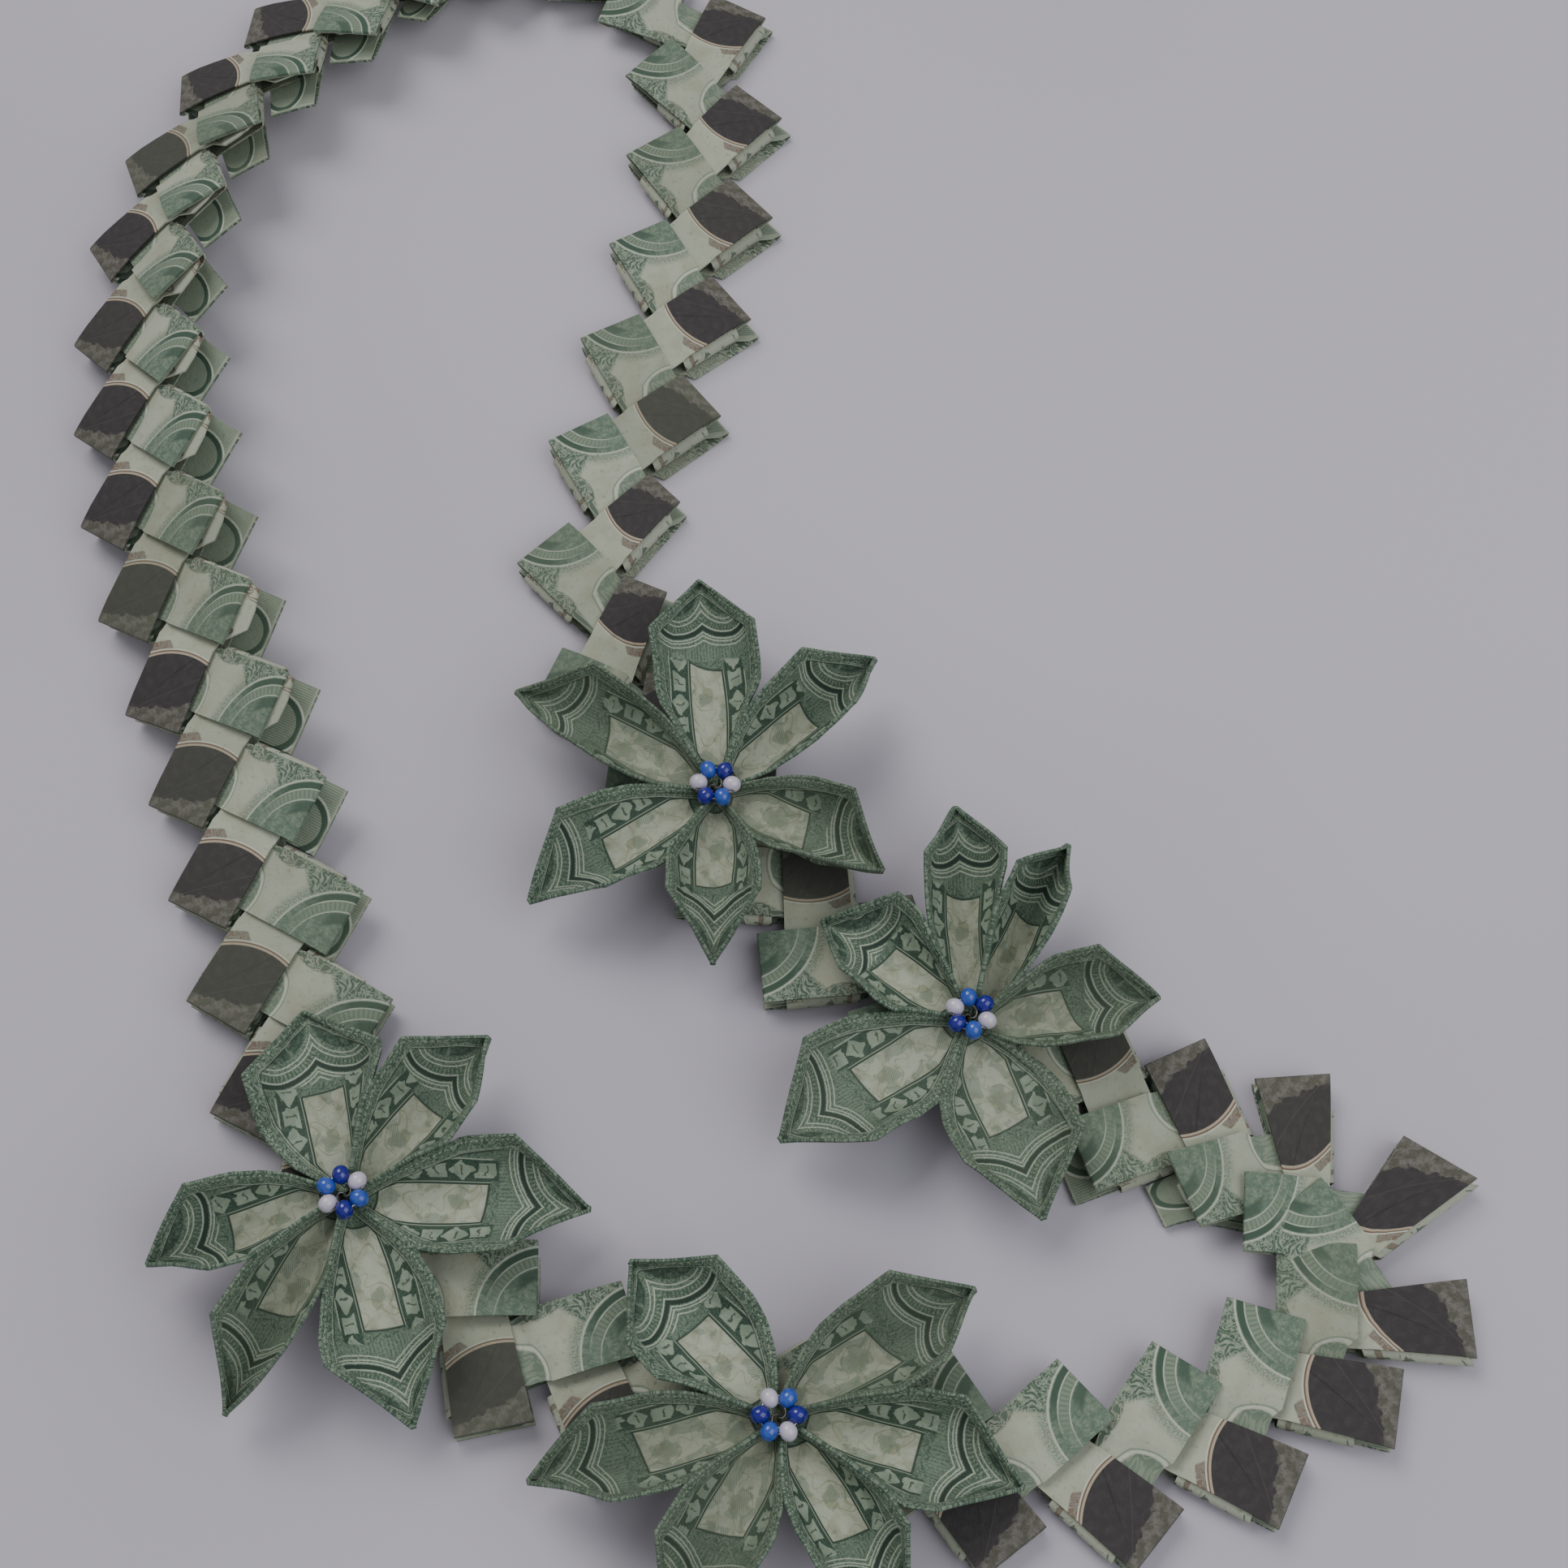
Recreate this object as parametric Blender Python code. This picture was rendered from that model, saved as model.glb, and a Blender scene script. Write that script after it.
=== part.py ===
"""Paper lei: a closed zigzag chain of folded paper links with four six-petalled paper flowers.

Every link is one strip whose ends are folded to its middle and which is then folded in half.
Its two legs each have an outer leaf and an inner flap, and the legs of the next link pass
between them, square to it. The loop lies flat, +Z is up and lengths are in metres.
"""

import math
from bisect import bisect_left

import bmesh
import bpy
from mathutils import Vector

MM = 0.001

# Strip and link
STRIP_WIDTH = 15.8 * MM
LINK_LENGTH = 39.3 * MM
LEAF = 0.6 * MM
LEG = 0.8 * MM
POCKET_PLAY = 0.4 * MM
HALF_SLIT = 0.3 * MM
FOLD_WALL = 0.7 * MM
TIP_WALL = 0.7 * MM
TIP_ROUNDING = 0.7 * MM
CLEARANCE = 0.3 * MM
FOLD_BITE = 0.15 * MM
NEIGHBOUR_GAP = 1.4 * MM
NARROWEST_HALF = 1.5 * MM

# Heights of the layers above a link's middle plane
FLAP_LOW = HALF_SLIT
FLAP_TOP = FLAP_LOW + LEAF
LEG_LOW = FLAP_TOP + POCKET_PLAY
LEG_TOP = LEG_LOW + LEG
LEAF_LOW = LEG_TOP + POCKET_PLAY
LEAF_TOP = LEAF_LOW + LEAF
CHAIN_TOP = 2 * LEAF_TOP

# Loop: x and y of the middle of the chain in millimetres, roll of the band in degrees with
# its outer edge down, and length of one zigzag of two links in millimetres
LOOP_ROUTE = (
    (-103, 225, 14, 24.0),
    (-122, 208, 18, 24.3),
    (-138, 187, 22, 24.3),
    (-148, 162, 25, 24.3),
    (-153, 134, 27, 24.3),
    (-151, 104, 27, 24.3),
    (-146, 74, 26, 24.3),
    (-138, 46, 24, 24.3),
    (-128, 20, 20, 24.3),
    (-120, -3, 15, 24.3),
    (-113, -25, 9, 24.3),
    (-107, -47, 3, 24.3),
    (-100, -69, 0, 24.3),
    (-87, -95, 0, 24.3),
    (-66, -118, 0, 24.3),
    (-38, -132, 0, 24.3),
    (-1, -141, 0, 24.3),
    (32, -148, 0, 24.3),
    (58, -149, 0, 24.3),
    (84, -143, 0, 23.0),
    (107, -132, 0, 21.0),
    (119, -122, 0, 20.0),
    (123, -109, 0, 20.0),
    (119, -96, 0, 20.0),
    (107, -86, 0, 21.0),
    (90, -79, 0, 23.0),
    (72, -72, 0, 24.3),
    (39, -59, 0, 24.3),
    (10, -38, 0, 25.0),
    (-12, -14, 0, 26.0),
    (-30, 8, 0, 28.0),
    (-40, 31, 0, 29.6),
    (-42, 53, 0, 29.6),
    (-38, 78, 0, 29.6),
    (-32, 106, 0, 29.6),
    (-25, 138, 0, 29.6),
    (-21, 170, 0, 29.6),
    (-21, 198, 0, 28.0),
    (-28, 220, 0, 25.0),
    (-43, 235, 0, 24.0),
    (-64, 241, 4, 24.0),
    (-84, 237, 9, 24.0),
)
LOOP_MIDDLE = (-14.9 * MM, 40.5 * MM)
SAMPLES_PER_SPAN = 40
HALF_BAND = 21.2 * MM
TWIST_REACH = 1.15
LIFT_REACH = 2
TILT_REACH = 32.0 * MM
LINKS_PER_SEGMENT = 3
TIGHT_BEND = (45, 57)
FLAT_ANGLE = math.radians(0.1)
WELD_DISTANCE = 0.02 * MM

# Petal: a folded sheet of paper in a trough, open flat to twice its half spans in millimetres
PETAL_BLADE = 0.7 * MM
PETAL_STATIONS = (0.0, 0.14, 0.4, 0.68, 0.84, 1.0)
PETAL_HALF_SPANS = (1.6, 5.0, 11.6, 17.0, 9.2, 0.5)
PETAL_ROWS = (-1.0, -0.5, 0.0, 0.5, 1.0)
PETAL_FOOT_RADIUS = 3.4 * MM
PETAL_KEEL = CHAIN_TOP + CLEARANCE + 1.7 * PETAL_BLADE
SHARPEST_LEAN = 0.6

# Steepness of a petal's lower and upper walls in degrees: at its foot, and further out when
# the petal is shut and when it is wide open
FOOT_WALLS = (60, 86)
SHUT_WALLS = (50, 90)
OPEN_WALLS = (4, 20)
FOOT_LENGTH = 0.5

# Flowers: middle in millimetres, heading of the first petal's foot in degrees, and for each
# petal its heading, its length in millimetres, how far it is open from 0 to 1 and its tip's lift
FLOWERS = (
    ((-89, -97), 106, ((106, 40, 0.9, 5), (49.7, 43, 0.4, 5), (-3, 50, 0.55, 3),
                       (-69.6, 49, 0.6, 2), (-115, 48, 0.2, 2), (-160, 41, 0.3, 3))),
    ((-1, -141), 135, ((135, 42, 0.6, 6), (32, 46, 0.38, 5), (-15.4, 49, 0.5, 2),
                       (-58, 45, 0.3, 2), (-118, 45, 0.35, 2), (-166, 50, 0.3, 2))),
    ((39, -59), 140, ((144, 38, 0.42, 2), (92, 47, 0.25, 6), (60, 44, 0.05, 6),
                      (5.3, 40, 0.35, 4), (-72.4, 45, 0.7, 3), (-146.5, 48, 0.7, 3))),
    ((-15, -6), 153, ((153, 50, 0.3, 5), (95, 50, 0.55, 7), (40.6, 47, 0.25, 5),
                      (-30, 42, 0.3, 6), (-90, 41, 0.35, 3), (-145.7, 48, 0.45, 3))),
)

# Bead ring: six seed beads on a wire that is twisted into a stem below them
BEAD_DIAMETER = 3.9 * MM
BEAD_BITE = 0.12 * MM
BEAD_RING_RADIUS = 3.85 * MM
BEAD_HEIGHT = PETAL_KEEL + 5.6 * MM
WIRE_RADIUS = 0.35 * MM
STEM_RADIUS = 0.9 * MM

# Colours
NOTE_GREEN = (0.20, 0.26, 0.17, 1.0)
PETAL_GREEN = (0.15, 0.22, 0.14, 1.0)
BEAD_BLUE = (0.02, 0.04, 0.35, 1.0)


def clear_scene():
    """Remove every object of the open file."""
    for item in list(bpy.data.objects):
        bpy.data.objects.remove(item, do_unlink=True)


def make_material(name, colour, roughness):
    """A Principled material with one colour."""
    material = bpy.data.materials.new(name)
    material.use_nodes = True
    shader = material.node_tree.nodes["Principled BSDF"]
    shader.inputs["Base Color"].default_value = colour
    shader.inputs["Roughness"].default_value = roughness
    return material


class Route:
    """The closed middle line of the chain, sampled from a smooth curve through its points."""

    def __init__(self, points):
        self.samples = []
        count = len(points)
        for index in range(count):
            corners = [points[(index + step) % count] for step in (-1, 0, 1, 2)]
            for part in range(SAMPLES_PER_SPAN):
                self.samples.append(self.blend(corners, part / SAMPLES_PER_SPAN))
        self.lengths = [0.0]
        self.phases = [0.0]
        for index, sample in enumerate(self.samples):
            following = self.samples[(index + 1) % len(self.samples)]
            run = math.dist(sample[:2], following[:2])
            self.lengths.append(self.lengths[-1] + run)
            self.phases.append(self.phases[-1] + 2 * run / sample[3])
        self.link_count = 2 * round(self.phases[-1] / 2)

    @staticmethod
    def blend(corners, t):
        """Catmull-Rom blend of four neighbouring route points."""
        weights = (
            -0.5 * t + t * t - 0.5 * t ** 3,
            1 - 2.5 * t * t + 1.5 * t ** 3,
            0.5 * t + 2 * t * t - 1.5 * t ** 3,
            -0.5 * t * t + 0.5 * t ** 3,
        )
        return [sum(w * corner[axis] for w, corner in zip(weights, corners)) for axis in range(4)]

    def at(self, link_number):
        """Place, tangent, outward normal, roll and zigzag length at a place counted in links."""
        phase = (link_number % self.link_count) * self.phases[-1] / self.link_count
        index = max(bisect_left(self.phases, phase) - 1, 0)
        step = (phase - self.phases[index]) / (self.phases[index + 1] - self.phases[index])
        total = len(self.samples)
        first = self.samples[index % total]
        second = self.samples[(index + 1) % total]
        before = self.samples[(index - 1) % total]
        after = self.samples[(index + 2) % total]
        mixed = [a + (b - a) * step for a, b in zip(first, second)]
        tangent = Vector((after[0] - before[0], after[1] - before[1])).normalized()
        outward = Vector((tangent.y, -tangent.x))
        place = Vector(mixed[:2]) - Vector(LOOP_MIDDLE)
        return place, tangent, outward, max(mixed[2], 0.0), mixed[3]

    def height_at(self, link_number):
        """Height of the middle plane that keeps the rolled and twisted band's edge on the floor."""
        lifts = []
        for step in range(-LIFT_REACH, LIFT_REACH + 1):
            roll = self.at(link_number + step)[3]
            twist = abs(self.at(link_number + step + 0.5)[3] - self.at(link_number + step - 0.5)[3])
            lifts.append(HALF_BAND * (math.sin(roll) + TWIST_REACH * twist))
        return LEAF_TOP + sum(lifts) / len(lifts)

    def climb_at(self, link_number):
        """Slope of the middle plane along the chain, no steeper than keeps a link off the floor."""
        roll, period = self.at(link_number)[3:]
        spare = self.height_at(link_number) - LEAF_TOP - HALF_BAND * math.sin(roll)
        steepest = max(spare, 0.0) / TILT_REACH
        rise = self.height_at(link_number + 1) - self.height_at(link_number - 1)
        return max(-steepest, min(steepest, rise / period))


def loop_route():
    """The route in metres and radians."""
    points = [(x * MM, y * MM, math.radians(roll), period * MM) for x, y, roll, period in LOOP_ROUTE]
    return Route(points)


class Line:
    """A straight line in the plan view, with the side that counts as ahead."""

    def __init__(self, point, along, ahead):
        self.point = point
        self.along = along.normalized()
        normal = Vector((-self.along.y, self.along.x))
        self.normal = normal if normal.dot(ahead) > 0 else -normal

    def moved(self, distance):
        """The same line moved ahead by a distance."""
        return Line(self.point + self.normal * distance, self.along, self.normal)

    def meets(self, other):
        """The point where two lines cross."""
        travel = other.normal.dot(other.point - self.point) / other.normal.dot(self.along)
        return self.point + self.along * travel


class LinkPlan:
    """One link seen from above: its axis, its side edges and the stations along it."""

    def __init__(self, route, number):
        self.number = number
        self.start = crossing_point(route, number - 1)
        self.end = crossing_point(route, number)
        self.axis = (self.end - self.start).normalized()
        tangent = route.at(number - 0.5)[1]
        side = Vector((-self.axis.y, self.axis.x))
        self.side = side if side.dot(tangent) > 0 else -side
        self.root = self.start - self.axis * (STRIP_WIDTH / 2 + FOLD_WALL)

    def edge_offset(self, neighbour, travel):
        """Half width towards a parallel neighbour that leaves the gap between the two."""
        ahead = 1.0 if neighbour.side.dot(neighbour.start - self.start) > 0 else -1.0
        mean = self.side + neighbour.side
        target = self.side.dot(self.root) + neighbour.side.dot(neighbour.root)
        target -= ahead * NEIGHBOUR_GAP / 2 * mean.length
        at_axis = self.root + self.axis * travel
        offset = ahead * (target - mean.dot(at_axis)) / mean.dot(self.side)
        return min(STRIP_WIDTH / 2, max(offset, NARROWEST_HALF))

    def set_edges(self, behind, ahead):
        """Straight side edges between the two parallel neighbours."""
        self.edges = []
        for neighbour, sign in ((behind, -1.0), (ahead, 1.0)):
            ends = []
            for travel in (0.0, LINK_LENGTH):
                reach = self.edge_offset(neighbour, travel)
                ends.append(self.root + self.axis * travel + self.side * (sign * reach))
            self.edges.append(Line(ends[0], ends[1] - ends[0], self.side))

    def set_stations(self, wrapped, held, bite):
        """Stations at both edges, from the link that the fold wraps and the link held at the tip."""
        inner = -bite if bite else CLEARANCE
        rear, front = wrapped.edges
        near, far = held.edges
        lines = {
            "fold_out": rear.moved(-inner - FOLD_WALL),
            "fold_in": rear.moved(-inner),
            "leg_end": front.moved(CLEARANCE),
            "mouth": near.moved(-CLEARANCE),
        }
        self.stations = {name: [edge.meets(line) for edge in self.edges] for name, line in lines.items()}
        limit = far.moved(CLEARANCE + TIP_WALL)
        tips = []
        for edge in self.edges:
            needed = self.axis.dot(edge.meets(limit) - self.root)
            travel = max(needed, LINK_LENGTH)
            square = Line(self.root + self.axis * travel, self.side, self.axis)
            tips.append(edge.meets(square))
        self.stations["tip"] = tips
        self.stations["pocket_end"] = [
            tip - edge.along * (TIP_WALL / abs(edge.along.dot(self.axis)))
            * math.copysign(1.0, edge.along.dot(self.axis))
            for tip, edge in zip(tips, self.edges)
        ]


def crossing_point(route, number):
    """Where a link crosses the next one: outside the middle line for even numbers."""
    place, _, outward, _, period = route.at(number)
    sign = 1.0 if number % 2 == 0 else -1.0
    return place + outward * (sign * period / 4)


# Profile of a link from its side: named stations and heights, for the leg above the slit
UPPER_CELLS = (
    (("fold_in", LEG_LOW), ("leg_end", LEG_LOW), ("leg_end", LEG_TOP), ("fold_out", LEG_TOP)),
    (("leg_end", LEG_LOW), ("mouth", FLAP_LOW), ("mouth", FLAP_TOP), ("mouth", LEAF_LOW),
     ("mouth", LEAF_TOP), ("leg_end", LEG_TOP)),
    (("mouth", FLAP_LOW), ("pocket_end", FLAP_LOW), ("pocket_end", FLAP_TOP), ("mouth", FLAP_TOP)),
    (("mouth", LEAF_LOW), ("pocket_end", LEAF_LOW), ("pocket_end", LEAF_TOP), ("mouth", LEAF_TOP)),
    (("pocket_end", FLAP_LOW), ("tip", FLAP_LOW), ("tip", LEAF_TOP - TIP_ROUNDING),
     ("pocket_end", LEAF_TOP), ("pocket_end", LEAF_LOW), ("pocket_end", FLAP_TOP)),
)
LOWER_CELLS = tuple(tuple((name, -z) for name, z in reversed(cell)) for cell in UPPER_CELLS)
FOLD_CELL = (("fold_out", -LEG_TOP), ("fold_in", -LEG_LOW), ("fold_in", LEG_LOW), ("fold_out", LEG_TOP))
PROFILE_CELLS = (FOLD_CELL,) + UPPER_CELLS + LOWER_CELLS


def profile_border():
    """Edges of the profile that belong to one cell only, in order round each cell."""
    used = set()
    for cell in PROFILE_CELLS:
        used.update(zip(cell, cell[1:] + cell[:1]))
    return [edge for edge in used if (edge[1], edge[0]) not in used]


PROFILE_BORDER = sorted(profile_border())


def band_frame(route, number):
    """Turns plan points near a place of the chain into the rolled band's own plane."""
    place, tangent, outward, roll, _ = route.at(number)
    along = Vector((tangent.x, tangent.y, route.climb_at(number))).normalized()
    flat_out = Vector((outward.x, outward.y, 0.0))
    across = flat_out * math.cos(roll) - Vector((0.0, 0.0, math.sin(roll)))
    across = (across - along * across.dot(along)).normalized()
    up = across.cross(along).normalized()
    if up.z < 0:
        up = -up
    middle = Vector((place.x, place.y, route.height_at(number)))

    def to_space(point, height):
        offset = point - place
        return middle + along * offset.dot(tangent) + across * offset.dot(outward) + up * height

    return to_space


def frame_place(number, starts):
    """Where a link takes its plane from, so that two segments meet in one plane."""
    if number in starts:
        return number - 1
    if number + 1 in starts:
        return number
    return number - 0.5


def link_mesh(plan, to_space):
    """The folded strip as one closed body between its two side edges."""
    mesh = bmesh.new()
    corners = []
    for side in (0, 1):
        corners.append({
            key: mesh.verts.new(to_space(plan.stations[key[0]][side], key[1]))
            for key in sorted({key for cell in PROFILE_CELLS for key in cell})
        })
    for cell in PROFILE_CELLS:
        mesh.faces.new([corners[0][key] for key in cell])
        mesh.faces.new([corners[1][key] for key in reversed(cell)])
    for first, second in PROFILE_BORDER:
        mesh.faces.new([corners[0][second], corners[0][first], corners[1][first], corners[1][second]])
    bmesh.ops.recalc_face_normals(mesh, faces=mesh.faces[:])
    if mesh.calc_volume(signed=True) < 0:
        bmesh.ops.reverse_faces(mesh, faces=mesh.faces[:])
    data = bpy.data.meshes.new("link")
    mesh.to_mesh(data)
    mesh.free()
    return data


def add_object(name, data, material=None):
    """An object in the scene that shows the mesh with its material."""
    item = bpy.data.objects.new(name, data)
    bpy.context.scene.collection.objects.link(item)
    if material:
        item.data.materials.append(material)
    return item


def drop_straight_corners(data):
    """Weld hairline edges and dissolve the corners that a union leaves inside flat faces.

    The faces are then cut into triangles, where no two faces may be cut along one line.
    """
    for dissolved, cut in ((True, "BEAUTY"), (True, "EAR_CLIP"), (False, "BEAUTY")):
        mesh = bmesh.new()
        mesh.from_mesh(data)
        bmesh.ops.remove_doubles(mesh, verts=mesh.verts[:], dist=WELD_DISTANCE)
        if dissolved:
            corners, edges = mesh.verts[:], mesh.edges[:]
            bmesh.ops.dissolve_limit(mesh, angle_limit=FLAT_ANGLE, verts=corners, edges=edges)
        bmesh.ops.triangulate(mesh, faces=mesh.faces[:], ngon_method=cut)
        closed = all(len(edge.link_faces) == 2 for edge in mesh.edges)
        if closed:
            mesh.to_mesh(data)
        mesh.free()
        if closed:
            return


def join_bodies(name, bodies, material):
    """Join touching bodies into one with a Boolean union on a collection."""
    base = bodies[0]
    parts = bpy.data.collections.new(name + "_parts")
    bpy.context.scene.collection.children.link(parts)
    for body in bodies[1:]:
        for holder in list(body.users_collection):
            holder.objects.unlink(body)
        parts.objects.link(body)
    union = base.modifiers.new("join", "BOOLEAN")
    union.operation = "UNION"
    union.operand_type = "COLLECTION"
    union.collection = parts
    union.solver = "EXACT"
    bpy.context.view_layer.update()
    joined = bpy.data.meshes.new_from_object(base.evaluated_get(bpy.context.evaluated_depsgraph_get()))
    joined.transform(base.matrix_world)
    for body in bodies:
        bpy.data.objects.remove(body, do_unlink=True)
    bpy.data.collections.remove(parts)
    joined.name = name
    joined.materials.clear()
    drop_straight_corners(joined)
    return add_object(name, joined, material)


def segment_starts(count):
    """First link of each segment, with all links of the tight bend in one segment."""
    first, last = TIGHT_BEND
    steps = range(0, count - LINKS_PER_SEGMENT + 1, LINKS_PER_SEGMENT)
    return [number for number in steps if not first < number < last]


def build_chain(root):
    """Lay the links along the route and join them segment by segment."""
    route = loop_route()
    count = route.link_count
    plans = [LinkPlan(route, number) for number in range(count)]
    for number, plan in enumerate(plans):
        plan.set_edges(plans[number - 2], plans[(number + 2) % count])
    starts = segment_starts(count)
    for number, plan in enumerate(plans):
        bite = 0.0 if number in starts else FOLD_BITE
        plan.set_stations(plans[number - 1], plans[(number + 1) % count], bite)
    for index, (start, stop) in enumerate(zip(starts, starts[1:] + [count])):
        name = f"chain_segment_{index + 1:02d}"
        links = []
        for number in range(start, stop):
            to_space = band_frame(route, frame_place(number, starts + [count]))
            links.append(add_object("link", link_mesh(plans[number], to_space)))
        segment = join_bodies(name, links, make_material(name + "_paper", NOTE_GREEN, 0.75))
        segment.parent = root


def petal_walls(opening, station):
    """Steepness of the lower and the upper wall at a station along the petal."""
    spread = min(station / FOOT_LENGTH, 1.0)
    walls = []
    for foot, shut, wide in zip(FOOT_WALLS, SHUT_WALLS, OPEN_WALLS):
        further_out = shut + (wide - shut) * opening
        walls.append(math.radians(foot + (further_out - foot) * spread))
    return walls


def petal_mesh(length, opening, lift):
    """A trough of folded paper: narrow foot, wide shoulders and pointed tip, along +X."""
    mesh = bmesh.new()
    upper = []
    for station, half_span in zip(PETAL_STATIONS, PETAL_HALF_SPANS):
        walls = petal_walls(opening, station)
        half = half_span * MM / 2
        row = []
        for place in PETAL_ROWS:
            climbed = walls[:round(2 * abs(place))]
            width = math.copysign(half * sum(math.cos(wall) for wall in climbed), place)
            rise = half * sum(math.sin(wall) for wall in climbed)
            row.append(mesh.verts.new((length * station, width, lift * station ** 1.5 + rise)))
        upper.append(row)
    for low, high in zip(upper, upper[1:]):
        for column in range(len(PETAL_ROWS) - 1):
            a, b, c, d = low[column], high[column], high[column + 1], low[column + 1]
            if column % 2:
                mesh.faces.new((a, b, c))
                mesh.faces.new((a, c, d))
            else:
                mesh.faces.new((a, b, d))
                mesh.faces.new((b, c, d))
    mesh.normal_update()
    lower = {vert: mesh.verts.new(vert.co - vert.normal * PETAL_BLADE * fold_stretch(vert))
             for row in upper for vert in row}
    outline = [edge for edge in mesh.edges if edge.is_boundary]
    for face in list(mesh.faces):
        mesh.faces.new([lower[vert] for vert in reversed(face.verts)])
    for edge in outline:
        first, second = edge.verts
        mesh.faces.new((first, second, lower[second], lower[first]))
    bmesh.ops.triangulate(mesh, faces=[face for face in mesh.faces if len(face.verts) > 3])
    bmesh.ops.recalc_face_normals(mesh, faces=mesh.faces[:])
    data = bpy.data.meshes.new("petal")
    mesh.to_mesh(data)
    mesh.free()
    return data


def fold_stretch(vert):
    """How much farther a corner moves so that the blade keeps its thickness at a crease."""
    lean = min(vert.normal.dot(face.normal) for face in vert.link_faces)
    return 1.0 / max(lean, SHARPEST_LEAN)


def towards(heading):
    """Unit vector in the plan at a heading in degrees."""
    angle = math.radians(heading)
    return Vector((math.cos(angle), math.sin(angle)))


def build_flower(number, middle, first_heading, petals, root):
    """Six petals round the middle, each from its own foot towards its own heading."""
    centre = Vector(middle) * MM - Vector(LOOP_MIDDLE)
    for index, (heading, length, opening, lift) in enumerate(petals):
        foot = centre + towards(first_heading - 60 * index) * PETAL_FOOT_RADIUS
        reach = centre + towards(heading) * (length * MM) - foot
        name = f"flower_{number}_petal_{index + 1}"
        data = petal_mesh(reach.length, opening, lift * MM)
        petal = add_object(name, data, make_material(name + "_paper", PETAL_GREEN, 0.75))
        petal.location = (foot.x, foot.y, PETAL_KEEL)
        petal.rotation_euler = (0.0, 0.0, math.atan2(reach.y, reach.x))
        petal.parent = root


def build_bead_ring(number, middle, turn, root):
    """Six touching beads, the wire through them and its twisted stem."""
    centre = Vector(middle) * MM - Vector(LOOP_MIDDLE)
    bodies = []
    stem_foot = CHAIN_TOP + CLEARANCE
    stem_top = BEAD_HEIGHT + 2 * WIRE_RADIUS
    bpy.ops.mesh.primitive_cylinder_add(
        vertices=6, radius=STEM_RADIUS, depth=stem_top - stem_foot,
        location=(centre.x, centre.y, (stem_top + stem_foot) / 2), rotation=(0.0, 0.0, turn))
    bodies.append(bpy.context.object)
    bpy.ops.mesh.primitive_cylinder_add(
        vertices=4, radius=WIRE_RADIUS, depth=2 * BEAD_RING_RADIUS,
        location=(centre.x, centre.y, BEAD_HEIGHT), rotation=(math.pi / 2, 0.0, turn + math.pi / 2))
    bodies.append(bpy.context.object)
    for index in range(6):
        angle = turn + index * math.pi / 3
        bpy.ops.mesh.primitive_uv_sphere_add(
            segments=8, ring_count=4, radius=BEAD_DIAMETER / 2 + BEAD_BITE,
            location=(centre.x + BEAD_RING_RADIUS * math.cos(angle),
                      centre.y + BEAD_RING_RADIUS * math.sin(angle), BEAD_HEIGHT),
            rotation=(0.0, 0.0, angle + math.pi / 8))
        bodies.append(bpy.context.object)
    name = f"flower_{number}_bead_ring"
    ring = join_bodies(name, bodies, make_material(name + "_beads", BEAD_BLUE, 0.2))
    ring.parent = root


def main():
    """Build the whole lei under one empty at its origin."""
    clear_scene()
    root = bpy.data.objects.new("lei", None)
    bpy.context.scene.collection.objects.link(root)
    build_chain(root)
    for number, (middle, first_heading, petals) in enumerate(FLOWERS, start=1):
        build_flower(number, middle, first_heading, petals, root)
        build_bead_ring(number, middle, math.radians(first_heading - 30), root)


main()
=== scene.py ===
"""Finish of a paper lei: folded and printed links, paper petals, bead rings, floor and light.

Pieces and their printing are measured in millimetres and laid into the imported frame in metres.
Camera, lights and floor are in metres.
"""

import math
import random
from bisect import bisect_left

import bpy
import numpy as np
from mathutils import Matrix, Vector


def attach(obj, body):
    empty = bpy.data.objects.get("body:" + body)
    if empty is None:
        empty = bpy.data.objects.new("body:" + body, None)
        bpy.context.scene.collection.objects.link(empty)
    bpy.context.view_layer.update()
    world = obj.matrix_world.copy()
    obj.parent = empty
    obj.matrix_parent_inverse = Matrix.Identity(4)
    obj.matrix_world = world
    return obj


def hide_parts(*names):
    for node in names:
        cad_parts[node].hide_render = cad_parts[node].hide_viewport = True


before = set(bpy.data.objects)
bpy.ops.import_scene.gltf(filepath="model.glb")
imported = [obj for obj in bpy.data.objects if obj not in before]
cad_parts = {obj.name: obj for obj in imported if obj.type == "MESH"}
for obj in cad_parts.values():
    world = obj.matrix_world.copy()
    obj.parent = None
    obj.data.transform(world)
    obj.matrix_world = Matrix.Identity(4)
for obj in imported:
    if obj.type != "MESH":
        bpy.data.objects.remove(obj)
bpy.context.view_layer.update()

MM = 0.001
BODY = "root"

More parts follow.
